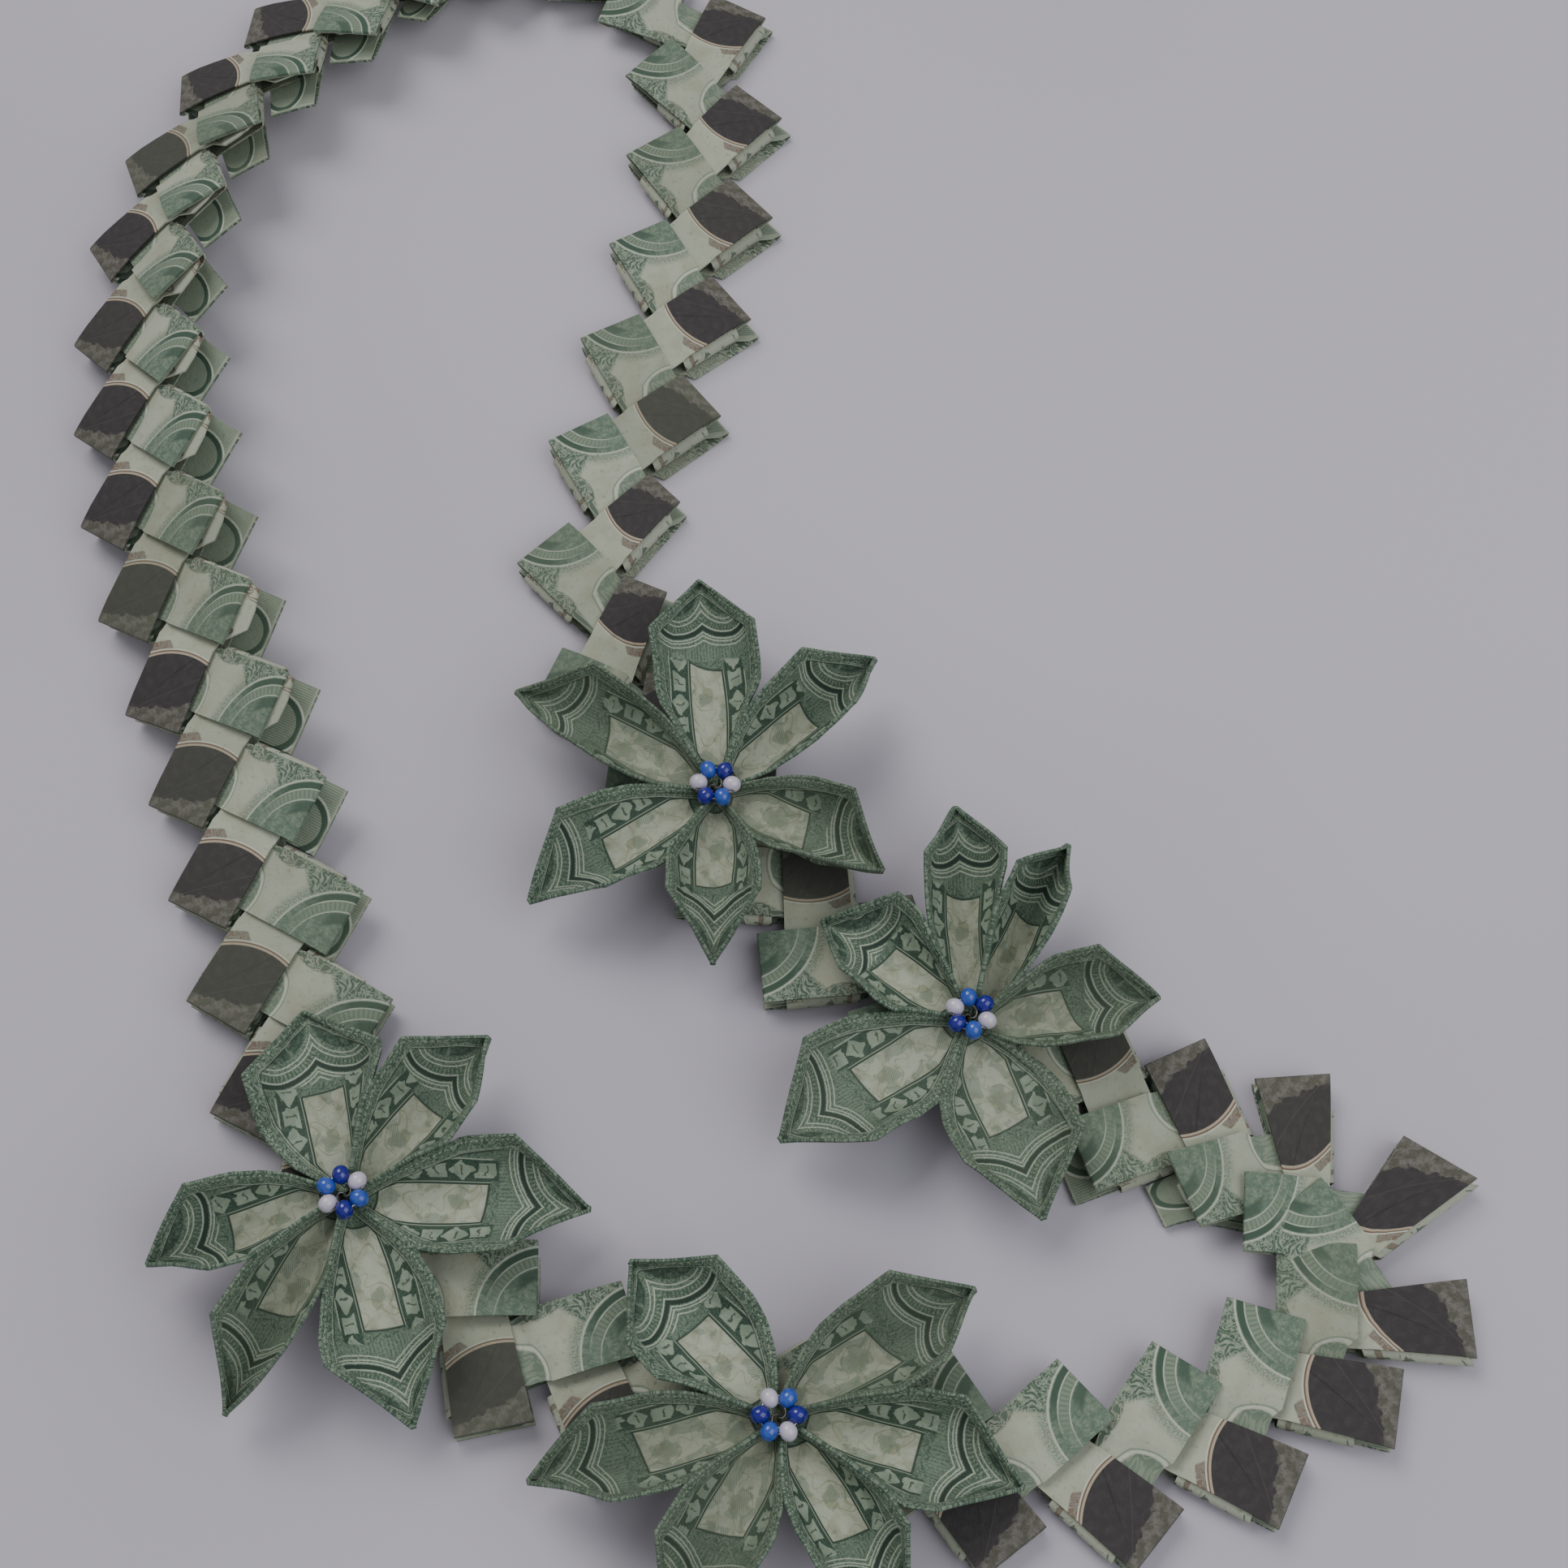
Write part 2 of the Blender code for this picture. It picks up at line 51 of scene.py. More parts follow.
# Loop of the chain: x and y of its middle, roll of the band in degrees with its outer edge
# down, and the length of one zigzag of two links
LOOP_ROUTE = (
    (-103, 225, 14, 24.0), (-122, 208, 18, 24.3), (-138, 187, 22, 24.3), (-148, 162, 25, 24.3),
    (-153, 134, 27, 24.3), (-151, 104, 27, 24.3), (-146, 74, 26, 24.3), (-138, 46, 24, 24.3),
    (-128, 20, 20, 24.3), (-120, -3, 15, 24.3), (-113, -25, 9, 24.3), (-107, -47, 3, 24.3),
    (-100, -69, 0, 24.3), (-87, -95, 0, 24.3), (-66, -118, 0, 24.3), (-38, -132, 0, 24.3),
    (-1, -141, 0, 24.3), (32, -148, 0, 24.3), (58, -149, 0, 24.3), (84, -143, 0, 23.0),
    (107, -132, 0, 21.0), (119, -122, 0, 20.0), (123, -109, 0, 20.0), (119, -96, 0, 20.0),
    (107, -86, 0, 21.0), (90, -79, 0, 23.0), (72, -72, 0, 24.3), (39, -59, 0, 24.3),
    (10, -38, 0, 25.0), (-12, -14, 0, 26.0), (-30, 8, 0, 28.0), (-40, 31, 0, 29.6),
    (-42, 53, 0, 29.6), (-38, 78, 0, 29.6), (-32, 106, 0, 29.6), (-25, 138, 0, 29.6),
    (-21, 170, 0, 29.6), (-21, 198, 0, 28.0), (-28, 220, 0, 25.0), (-43, 235, 0, 24.0),
    (-64, 241, 4, 24.0), (-84, 237, 9, 24.0),
)
LOOP_MIDDLE = Vector((-14.9, 40.5))
SAMPLES_PER_SPAN = 40
STEPS_PER_LINK = 20
HALF_BAND = 21.2
TWIST_REACH = 1.15
LIFT_REACH = 2
TILT_REACH = 32.0
LINKS_PER_SEGMENT = 3
CHAIN_SEED = 7
TIGHT_BEND = (45, 57)

# Link: a folded strip, with its stations along it and the heights of its layers
STRIP_WIDTH = 15.8
LINK_LENGTH = 39.3
FOLD_WALL = 0.7
TIP_WALL = 0.7
CLEARANCE = 0.3
NEIGHBOUR_GAP = 1.4
NARROWEST_HALF = 1.5
WIDEST_CROSSING = 6.2
LEAF_TOP = 3.1
CHAIN_TOP = 2 * LEAF_TOP
STRIP_THICKNESS = 0.42
LINK_STATIONS = (-0.3, 0.4, 16.8, 17.6, 38.6, 39.3)

# How far the turn is drawn in, and how the leaves gape, show and lie on each other
TURN_DRAW = 6.0
GAPE_FROM = 20.0
GAPE_ROLLS = (math.radians(4), math.radians(24))
UPPER_TRAVEL = -3.4
LOWER_TRAVEL = 1.8
UPPER_RISE = 0.9
LOWER_RISE = -2.5
SHINGLE_RISE = 2.2
SHINGLE_SHARE = 3.0
STRIP_SHOW = 6.4
LOWER_SHOW = 3.2
WIDE_ZIGZAGS = (25.5, 28.5)
OUTER_LEAF = (16.8, 19.4)
INNER_LEAF = (16.6, 14.0)
PAST_FOLD = (0.4, 1.6)
FRONT_HALF = (0.5, 1.0)
REAR_HALF = (0.5, 0.0)
UPPER_LAYERS = (0.3, 1.4)
LOWER_LAYERS = (-0.4, -1.5)
TOP_LAYER = (0.7, 1.6)
LOOSEST_LIFT = 0.3
LOOSEST_TILT = 0.25

# Half of the folded strip from the side, from the end of its inner flap round the tip crease
# and along the outer leaf to the round fold: travel and height
HALF_PATH = (
    (18.2, 0.6), (22.0, 0.6), (28.0, 0.6), (33.5, 0.68), (36.5, 1.12), (38.7, 1.42),
    (39.03, 1.55), (39.15, 1.85), (39.03, 2.15), (38.7, 2.3), (37.0, 2.52), (33.5, 2.8),
    (29.0, 2.88), (24.0, 2.86), (19.4, 2.76), (17.9, 2.1), (16.6, 1.72), (11.6, 1.7),
    (6.4, 1.7), (1.25, 1.7), (0.4, 1.47), (-0.22, 0.85), (-0.45, 0.0),
)
TIP_INDEX = 7

# Petal: half spans of its open sheet, and shares of its greatest half width, along it
PETAL_STATIONS = (0.0, 0.1, 0.2, 0.32, 0.45, 0.68, 1.0)
PETAL_HALF_SPANS = (3.0, 6.2, 9.3, 12.2, 14.6, 17.0, 0.5)
PETAL_WIDTHS = (0.1, 0.42, 0.7, 0.9, 1.0, 0.98, 0.02)
PETAL_FOOT_RADIUS = 1.6
KEEL_RISE = 1.19
PETAL_KEEL = CHAIN_TOP + CLEARANCE + KEEL_RISE
WALL_STEP = math.radians(26)
WIDEST_GAP = 90.0
PETAL_THICKNESS = 0.26
PETAL_COLUMNS = 25
PETAL_ROWS = 16
HEM_SHARE = 0.2
HEM_LIFT = 0.32
HEM_BULGE = 0.012
HEM_ROWS = (0.4, 0.3, 0.3)
BEND_STEPS = 24
LOWER_BEND = (-0.02, 0.16)
UPPER_BEND = (0.44, 0.56)
RIPPLE = 0.28

# Flowers: middle, heading of the first petal's foot in degrees, and for each petal its heading,
# its length, how far it is open from 0 to 1 and its tip's lift
FLOWER_SEED = 21
SIXTH = 60
FLOWERS = (
    ((-89, -97), 106, ((106, 40, 0.9, 5), (49.7, 43, 0.4, 5), (-3, 50, 0.55, 3),
                       (-69.6, 49, 0.6, 2), (-115, 48, 0.2, 2), (-160, 41, 0.3, 3))),
    ((-1, -141), 135, ((135, 42, 0.6, 6), (32, 46, 0.38, 5), (-15.4, 49, 0.5, 2),
                       (-58, 45, 0.3, 2), (-118, 45, 0.35, 2), (-166, 50, 0.3, 2))),
    ((39, -59), 140, ((144, 38, 0.42, 2), (92, 47, 0.25, 6), (60, 44, 0.05, 6),
                      (5.3, 40, 0.35, 4), (-72.4, 45, 0.7, 3), (-146.5, 48, 0.7, 3))),
    ((-15, -6), 153, ((153, 50, 0.3, 5), (95, 50, 0.55, 7), (40.6, 47, 0.25, 5),
                      (-30, 42, 0.3, 6), (-90, 41, 0.35, 3), (-145.7, 48, 0.45, 3))),
)

# Bead ring: the three glasses follow each other round it, from each flower's first dark bead
BEAD_DIAMETER = 4.0
BEAD_LENGTH_SHARE = 0.9
BEAD_HOLE_SHARE = 0.9
BEAD_RING_RADIUS = 3.65
BEAD_RISE = 5.6
BEAD_HEIGHT = PETAL_KEEL + BEAD_RISE
BEAD_COUNT = 6
WIRE_RADIUS = 0.2
STRAND_RADIUS = WIRE_RADIUS * 1.1
FLARE_REACH = BEAD_RING_RADIUS - 0.3
RING_STEP = 7.5
STEM_POINTS = 40
STEM_TWIST = 5 * math.pi
STEM_SHARE = 0.72
BEAD_TURNS = (100, 0, 36, 56)

# Angles in degrees from which on edges look sharp
LINK_EDGES = 40
PETAL_EDGES = 32
ROUND_EDGES = 50

# Camera: the floor point at the middle of the picture and the camera's height angle
AIM = Vector((14.9, -40.5, 0.0)) * MM
CAMERA_ANGLE = math.radians(65)
CAMERA_DISTANCE = 0.525
FOCAL_PIXELS = 2884
FRAME_PIXELS = 1932
SENSOR_WIDTH = 36.0

# Floor, and the lights: name, place, size, power and colour
FLOOR_SIZE = 4.0
FLOOR_DEPTH = 0.05 * MM
LIGHTS = (
    ("key", (-1.0, 1.3, 2.2), 1.6, 37.0, (1.0, 0.98, 0.97)),
    ("fill", (0.75, -0.45, 1.0), 1.2, 8.0, (0.96, 0.97, 1.0)),
)
GLOW_COLOUR = (0.95, 0.95, 1.0, 1.0)
GLOW_STRENGTH = 0.35


def display(red, green, blue):
    """Linear colour of a display colour given from 0 to 255."""
    shares = [value / 255 for value in (red, green, blue)]
    linear = [s / 12.92 if s <= 0.04045 else ((s + 0.055) / 1.055) ** 2.4 for s in shares]
    return (*linear, 1.0)


# Cover of a whole ink, depth of the paper's relief and the colours
FULL = 1.0
RELIEF_DEPTH = 0.2 * MM
CREAM = display(176, 182, 162)
WORN_CREAM = display(162, 163, 138)
FRAME_CREAM = display(176, 164, 142)
PALE = display(194, 200, 182)
# Mottle, and painted shade of the deep trough, on the petals' cream window
PANE_MOTTLE_AND_SHADE = display(146, 149, 124)
CREASE_BROWN = display(140, 142, 112)
BLOCK = display(155, 169, 148)
SOFT_GREEN = display(138, 152, 132)
RIM_GREEN = display(126, 141, 121)
DISC_GREEN = display(124, 140, 120)
CORNER_GREEN = display(122, 138, 118)
MID_GREEN = display(104, 124, 106)
AGED_GREEN = display(96, 104, 84)
DARK_GREEN = display(66, 88, 73)
DEEP_GREEN = display(49, 66, 56)
MOSS = display(56, 62, 50)
GRIME = display(60, 66, 56)
BROWN = display(118, 96, 80)
SMOKE = display(118, 114, 107)
CREASE_GREY = display(92, 89, 82)
OLIVE_GREY = display(84, 84, 72)
ASH = display(84, 82, 78)
CHARCOAL = display(60, 57, 57)
STROKE_BLACK = display(40, 39, 40)
SPOKE_BLACK = display(34, 34, 36)
WIRE_BRIGHT = display(176, 174, 168)
WIRE_DULL = display(120, 118, 112)
FLOOR_PALE = display(196, 192, 200)
FLOOR_CLOUD = display(188, 184, 194)

# Glass of the beads: colour, clouding and roughness
BEAD_GLASS = {
    "dark_blue_glass": (display(18, 22, 132), display(28, 34, 150), 0.18),
    "light_blue_glass": (display(46, 84, 178), display(66, 106, 196), 0.2),
    "white_glass": (display(204, 198, 212), display(184, 180, 202), 0.22),
}
GLASS_SHINE = {"Specular IOR Level": 0.5, "Coat Weight": 0.6, "Coat Roughness": 0.06}


def reckoned(operation):
    """A sign of arithmetic between a reading and other values."""
    return lambda reading, *others: reading.sheet.reckon(operation, reading, *others)


class Reading:
    """A number that varies over a sheet and can be reckoned with."""

    def __init__(self, sheet, socket):
        self.sheet = sheet
        self.socket = socket

    def __rsub__(self, other):
        return self.sheet.reckon("SUBTRACT", other, self)

    __add__ = reckoned("ADD")
    __sub__ = reckoned("SUBTRACT")
    __mul__ = reckoned("MULTIPLY")
    __truediv__ = reckoned("DIVIDE")
    __abs__ = reckoned("ABSOLUTE")


class Sheet:
    """A material that is printed layer over layer."""

    def __init__(self, name, ground):
        self.material = bpy.data.materials.new(name)
        self.material.use_nodes = True
        self.tree = self.material.node_tree
        self.shader = self.tree.nodes["Principled BSDF"]
        self.place = self.node("TexCoord", ())["Object"]
        self.colour = ground

    def plug(self, socket, value):
        """Link a socket or a reading, or set a plain value."""
        if isinstance(value, Reading):
            value = value.socket
        if isinstance(value, bpy.types.NodeSocket):
            self.tree.links.new(value, socket)
        else:
            socket.default_value = value

    def node(self, kind, inputs, **settings):
        """A new node with its settings and inputs, and its outputs."""
        node = self.tree.nodes.new(f"ShaderNode{kind}")
        for key, value in settings.items():
            setattr(node, key, value)
        for key, value in inputs:
            self.plug(node.inputs[key], value)
        return node.outputs

    def reckon(self, operation, *values):
        """Result of a sum on readings and numbers."""
        return Reading(self, self.node("Math", enumerate(values), operation=operation)[0])

    def uv(self, name):
        """The two readings of a UV map, and the map itself."""
        place = self.node("UVMap", (), uv_map=name)[0]
        parts = self.node("SeparateXYZ", ((0, place),))
        return Reading(self, parts[0]), Reading(self, parts[1]), place

    def attribute(self, name):
        """A reading that is stored on the mesh."""
        return Reading(self, self.node("Attribute", (), attribute_name=name)["Fac"])

    def step(self, value, start, end):
        """0 up to start and 1 from end on."""
        limits = enumerate((value, start, end, 0.0, 1.0))
        return Reading(self, self.node("MapRange", limits, interpolation_type="SMOOTHSTEP")[0])

    def between(self, value, low, high, soft=0.12):
        """1 from low to high and 0 outside."""
        return self.step(value, low - soft, low + soft) * self.step(value, high + soft, high - soft)

    def line(self, value, place, half, soft=0.12):
        """1 on a line of a value and 0 beside it."""
        return self.step(abs(value - place), half + soft, half - soft / 2)

    def reach(self, x, y):
        """Distance from the origin."""
        return self.reckon("SQRT", x * x + y * y)

    def polar(self, x, y):
        """Distance from the origin and the angle round it."""
        return self.reach(x, y), self.reckon("ARCTAN2", x, y)

    def wave(self, value, pitch):
        """Ripple from 0 to 1 with a pitch."""
        return self.reckon("SINE", value * (2 * math.pi / pitch)) * 0.5 + 0.5

    def noise(self, vector, scale, detail=2.0, distortion=0.0):
        """Cloudy reading round 0.5."""
        inputs = (("Vector", vector), ("Scale", scale), ("Detail", detail),
                  ("Distortion", distortion))
        return Reading(self, self.node("TexNoise", inputs)["Fac"])

    def paint(self, ink, cover):
        """Lay an ink over what is there."""
        inputs = (("Factor", cover), ("A", self.colour), ("B", ink))
        self.colour = self.node("Mix", inputs, data_type="RGBA")["Result"]

    def layers(self, area, *inks):
        """Lay several inks over each other, each with its own cover, within one area."""
        for ink, cover in inks:
            self.paint(ink, area * cover)

    def set_shader(self, settings):
        """Plain values of the shader by their names."""
        for key, value in settings.items():
            self.shader.inputs[key].default_value = value

    def finish(self, roughness, relief, height):
        """Connect colour and relief to the shader."""
        self.plug(self.shader.inputs["Base Color"], self.colour)
        self.set_shader({"Roughness": roughness, "Specular IOR Level": 0.3})
        inputs = (("Strength", relief), ("Distance", RELIEF_DEPTH), ("Height", height))
        self.plug(self.shader.inputs["Normal"], self.node("Bump", inputs)[0])
        return self.material


def path_lengths(path):
    """Distance along a path at each of its points."""
    lengths = [0.0]
    for first, second in zip(path, path[1:]):
        lengths.append(lengths[-1] + math.dist(first, second))
    return lengths


# Distance along the strip from its round fold to its tip crease
TIP_AT = path_lengths(HALF_PATH)[-1] - path_lengths(HALF_PATH)[TIP_INDEX]


def scrollwork(sheet, vector, scale):
    """Curled ornament: the bands of a cloudy, twisted reading."""
    curls = sheet.wave(sheet.noise(vector, scale * 0.5, 0.5, 1.3), 0.2)
    grain = sheet.noise(vector, scale * 3.1, 3.0)
    return sheet.step(curls * 0.75 + grain * 0.4, 0.42, 0.7)


def link_sheet(name):
    """Worn cream link paper with printed flaps and a spotted round fold, and its readings.

    These are the places along and across it, the UV map, the way back from the tip crease, the
    area of the outer leaf and fine scrolls.
    """
    sheet = Sheet(name, CREAM)
    along, across, uv = sheet.uv("strip")
    worn = sheet.noise(sheet.place, 160.0, 3.0)
    sheet.paint(WORN_CREAM, sheet.step(worn, 0.38, 0.7) * 0.6)
    back = TIP_AT - abs(along)
    rings = sheet.reach(back + 7.0, across - 3.0)
    sheet.layers(
        sheet.step(back, -0.2, -0.8), (MID_GREEN, sheet.wave(across, 0.55) * 0.5 + 0.4),
        (DARK_GREEN, sheet.line(rings, 6.2, 0.6)), (PALE, sheet.line(rings, 7.2, 0.2)))
    hidden = sheet.step(abs(along), 14.5, 12.0)
    sheet.paint(MID_GREEN, hidden * scrollwork(sheet, uv, 0.5) * 0.7)
    spots = sheet.step(sheet.noise(uv, 0.42, 2.0, 0.6), 0.54, 0.6)
    sheet.layers(
        sheet.step(abs(along), 5.2, 4.6), (CREAM, FULL), (DARK_GREEN, spots * 0.8),
        (BROWN, sheet.line(across, -5.6, 0.5) * 0.7))
    face = sheet.step(back, -0.3, 0.1) * sheet.step(abs(along), 14.0, 15.0)
    return sheet, along, across, uv, back, face, scrollwork(sheet, uv, 0.8)


def shade_and_close(sheet, ink_relief):
    """Vary the tint from piece to piece, darken it in patches and connect the shader."""
    sheet.paint(AGED_GREEN, sheet.step(sheet.attribute("tint"), 0.3, 1.0) * 0.28)
    grain = sheet.noise(sheet.place, 900.0, 4.0)
    sheet.paint(GRIME, sheet.step(grain, 0.56, 0.8) * 0.35)
    return sheet.finish(0.72, 0.5, grain + ink_relief)


def green_link_material():
    """Link face with a ringed quarter disc, scrolls, a cream field and a hatched segment."""
    sheet, _, across, uv, back, face, leaves = link_sheet("green_print")
    step, line = sheet.step, sheet.line
    ring, sweep = sheet.polar(back + 2.9, across - 9.9)
    scroll = scrollwork(sheet, uv, 0.52)
    segment = sheet.reach(back - 29.0, across - 4.6)
    # Dark green scrolled patch at the leaf's side edge: partly printed ornament, partly painted
    # shade beside the strip that lies above it
    lens = sheet.reach(back - 18.0, across + 13.0)
    dots = step(sheet.noise(uv, 2.4, 1.0), 0.36, 0.6)
    sheet.layers(
        face, (MID_GREEN, step(segment, 8.2, 7.9) * (leaves * 0.3 + 0.6)),
        (PALE, line(segment, 8.5, 0.25)), (SOFT_GREEN, line(segment, 9.0, 0.14)),
        (DARK_GREEN, step(lens, 8.3, 7.7) * (leaves * 0.5 + 0.35)),
        (MID_GREEN, step(ring, 20.2, 17.8) * (dots * 0.6 + 0.22)))
    corner = step(back + across * 0.86, 9.4, 7.4) * step(ring, 16.6, 17.0)
    sheet.layers(
        face * corner, (CORNER_GREEN, FULL), (DARK_GREEN, scroll * 0.85),
        (PALE, step(leaves, 0.3, 0.05) * 0.3))
    mottle = sheet.noise(uv, 0.7, 4.0, 0.8)
    sheet.layers(
        face * step(ring, 16.5, 16.3), (DISC_GREEN, FULL),
        (MID_GREEN, step(mottle, 0.38, 0.56)), (DARK_GREEN, leaves * 0.32))
    near_tip = face * step(back, 12.0, 6.0)
    rim = sheet.between(ring, 12.7, 14.4)
    sheet.layers(
        near_tip, (DARK_GREEN, sheet.between(ring, 14.9, 16.2)), (RIM_GREEN, rim),
        (DARK_GREEN, rim * step(sheet.wave(sweep, 0.075), 0.55, 0.8) * 0.4))
    wedge = sheet.between(ring, 9.6, 12.1, 0.4) * step(back + mottle * 3.0, 6.6, 4.4)
    sheet.layers(face, (DARK_GREEN, wedge * 0.85), (PALE, line(ring, 16.6, 0.2) * 0.7))
    for radius in (14.7, 12.4):
        sheet.paint(PALE, near_tip * line(ring, radius, 0.12) * 0.7)
    return shade_and_close(sheet, scroll * 0.2)


def dark_link_material():
    """Link face with a cream end, curved frame lines and a charcoal panel, green underneath."""
    sheet, along, across, uv, back, face, leaves = link_sheet("charcoal_print")
    step, line = sheet.step, sheet.line
    bow = sheet.reach(back + 2.0, across - 3.0)
    seal = sheet.reach(abs(along) - 15.5, across - 5.6)
    sheet.layers(
        step(abs(along), 18.0, 17.0) * step(across, 3.6, 4.0), (CREAM, FULL),
        (BROWN, sheet.between(abs(along), 1.6, 6.2) * leaves * 0.8),
        (SMOKE, line(seal, 1.5, 0.2)), (SMOKE, step(seal, 0.9, 0.7) * 0.7))
    corner = step(bow, 22.6, 22.2) * step(across + bow * 0.9, 16.4, 15.6)
    sheet.layers(face * corner, (SMOKE, 0.7), (BROWN, leaves * 0.8))

    panel = face * step(bow, 19.4, 19.2)
    clouds = sheet.noise(uv, 0.5, 4.0, 0.4)
    strokes = sheet.wave(abs(along) + across * 1.7 + clouds * 3.0, 0.9)
    sweep = sheet.reckon("ARCTAN2", across + 6.0, back - 3.0)
    sheet.layers(
        panel, (CHARCOAL, FULL), (ASH, step(clouds, 0.4, 0.8) * 0.5),
        (STROKE_BLACK, strokes * 0.35), (SPOKE_BLACK, line(sweep, 0.62, 0.012, 0.02) * 0.45),
        (CREASE_GREY, line(across * 0.8 - back, -7.0, 0.1) * 0.35))
    ragged = sheet.noise(uv, 0.34, 4.0) * 5.0
    sheet.layers(
        panel * step(back - across * 0.3 + ragged, 7.0, 6.5), (SMOKE, 0.85),
        (OLIVE_GREY, step(clouds, 0.42, 0.58) * 0.8), (MOSS, leaves * 0.3))
    sheet.layers(
        face, (PALE, line(bow, 20.25, 0.16)), (BROWN, line(bow, 19.9, 0.16)),
        (FRAME_CREAM, line(bow, 19.5, 0.2)), (DEEP_GREEN, step(back, 0.5, 0.1) * 0.6))
    sheet.layers(
        face * step(along, 0.5, -0.5), (CREAM, FULL), (MID_GREEN, leaves * 0.5 + 0.15),
        (DARK_GREEN, leaves * step(back, 13.0, 7.0) * 0.7))
    return shade_and_close(sheet, strokes * 0.2)


def petal_material():
    """Petal sheet with a cream window, rows of cream blocks, scrolled rims and banded arcs."""
    sheet = Sheet("petal_print", MID_GREEN)
    step, line = sheet.step, sheet.line
    tip, across, uv = sheet.uv("sheet")
    station, rim, _ = sheet.uv("rim")
    side = abs(across)
    turn = sheet.attribute("tint") - 0.5
    scroll = scrollwork(sheet, uv, 0.8)
    leaves = scrollwork(sheet, uv, 1.25)
    fine = sheet.wave(across * 0.8 + tip * 0.6, 0.42)
    clouds = sheet.noise(uv, 0.3, 4.0, 0.5)
    sheet.paint(DARK_GREEN, scroll * 0.8)
    sheet.paint(SOFT_GREEN, step(leaves, 0.2, 0.0) * 0.5)
    sheet.paint(DARK_GREEN, fine * 0.25)

    outside = side - sheet.reckon("MINIMUM", station * 20.0 + 0.5, turn * 1.4 + 4.3)
    far = station + across * turn * 0.016 + turn * 0.06
    inner = sheet.between(far, 0.08, 0.555, 0.006)
    rows = sheet.between(outside, 1.0, 5.6) * sheet.between(far, 0.08, 0.61, 0.006)
    count = tip / 5.0 + turn * 2.0 + clouds * 0.8
    column = abs(sheet.reckon("FRACT", count) - 0.5) * 5.0
    low = abs(outside - 3.2)
    odd = step(sheet.reckon("FRACT", count * 0.5), 0.49, 0.51)
    lozenge = column / 2.7 + low / 2.5
    slab = sheet.reckon("MAXIMUM", column / 1.9, low / 1.7)
    block = step(lozenge * odd + slab * (1.0 - odd), 1.05, 0.93)
    slit = line(column, 0.0, 0.16) * step(low, 1.3, 1.0)
    sheet.layers(
        rows, (DARK_GREEN, 0.95), (DEEP_GREEN, step(leaves + fine * 0.4, 0.3, 0.9) * 0.7),
        (BLOCK, block * 0.9), (MID_GREEN, block * step(clouds, 0.45, 0.6) * 0.4),
        (DEEP_GREEN, block * slit * 0.8))
    sheet.layers(
        inner, (PALE, line(outside, 5.9, 0.12) * 0.6),
        (DEEP_GREEN, step(outside, 1.05, 0.9)), (SOFT_GREEN, line(outside, 0.62, 0.1)))
    crease = line(sheet.noise(uv, 0.16, 1.0, 0.3), 0.5, 0.008, 0.008)
    patch = step(sheet.noise(uv, 0.2, 3.0, 0.5) + turn * 0.1, 0.55, 0.58)
    # Cream window with crease lines, dimmed in cloudy patches: mottle, and painted shade of the
    # deep trough
    sheet.layers(
        sheet.between(far, 0.09, 0.545, 0.004) * step(outside, 0.2, 0.0), (CREAM, FULL),
        (CREASE_BROWN, crease * 0.7), (PANE_MOTTLE_AND_SHADE, step(clouds, 0.4, 0.75) * 0.8),
        (MID_GREEN, patch * (fine * 0.5 + 0.2)))

    cusp, sweep = sheet.polar(tip - 1.0, side - 9.5)
    bands = step(station, 0.6, 0.615)
    rays = sheet.wave(across + turn * 3.0, 0.8)
    sheet.layers(
        bands, (MID_GREEN, 0.6), (DARK_GREEN, scroll * 0.6),
        (SOFT_GREEN, step(cusp, 16.0, 17.0) * rays * 0.45))
    sheet.layers(
        bands * sheet.between(cusp, 9.2, 16.4, 0.3), (MID_GREEN, 0.8),
        (SOFT_GREEN, step(leaves, 0.3, 0.0) * 0.6), (DARK_GREEN, leaves * 0.5))
    ticks = step(sheet.wave(sweep, 0.075), 0.5, 0.7)
    sheet.layers(
        bands, (DARK_GREEN, sheet.between(cusp, 11.4, 12.7) * ticks * 0.7),
        (DEEP_GREEN, line(cusp, 13.6, 0.42)))
    for radius in (10.2, 11.1, 12.9, 14.4, 15.0, 15.9):
        sheet.paint(PALE, bands * line(cusp, radius, 0.1) * 0.75)
    sheet.layers(
        step(cusp, 9.3, 8.9) * bands, (DARK_GREEN, 0.8),
        (SOFT_GREEN, step(clouds, 0.5, 0.72) * 0.7), (DEEP_GREEN, scroll * 0.6),
        (PALE, line(sheet.reach(tip - 3.5, side - 7.5), 3.6, 0.14) * 0.7))

    sheet.layers(
        step(rim, 3.6, 3.4), (MID_GREEN, 0.8), (DARK_GREEN, leaves * 0.85),
        (DARK_GREEN, fine * 0.3), (SOFT_GREEN, step(leaves, 0.12, 0.0) * 0.5))
    sheet.paint(DEEP_GREEN, line(rim, 3.75, 0.12) * 0.8)
    sheet.paint(PALE, line(rim, 3.4, 0.1) * 0.45)
    sheet.paint(PALE, line(rim, 2.8, 0.08) * 0.3)
    dash = step(sheet.wave(tip, 1.1), 0.5, 0.7)
    sheet.paint(PALE, line(rim, 0.8, 0.12) * dash * 0.5)
    return shade_and_close(sheet, scroll * 0.2)


def clouded_material(name, colour, cloud, scale, cover, roughness, relief, settings):
    """Even material with slight clouding."""
    sheet = Sheet(name, colour)
    clouds = sheet.noise(sheet.place, scale)
    sheet.paint(cloud, sheet.step(clouds, 0.45, 0.7) * cover)
    sheet.finish(roughness, relief, clouds)
    sheet.set_shader(settings)
    return sheet.material


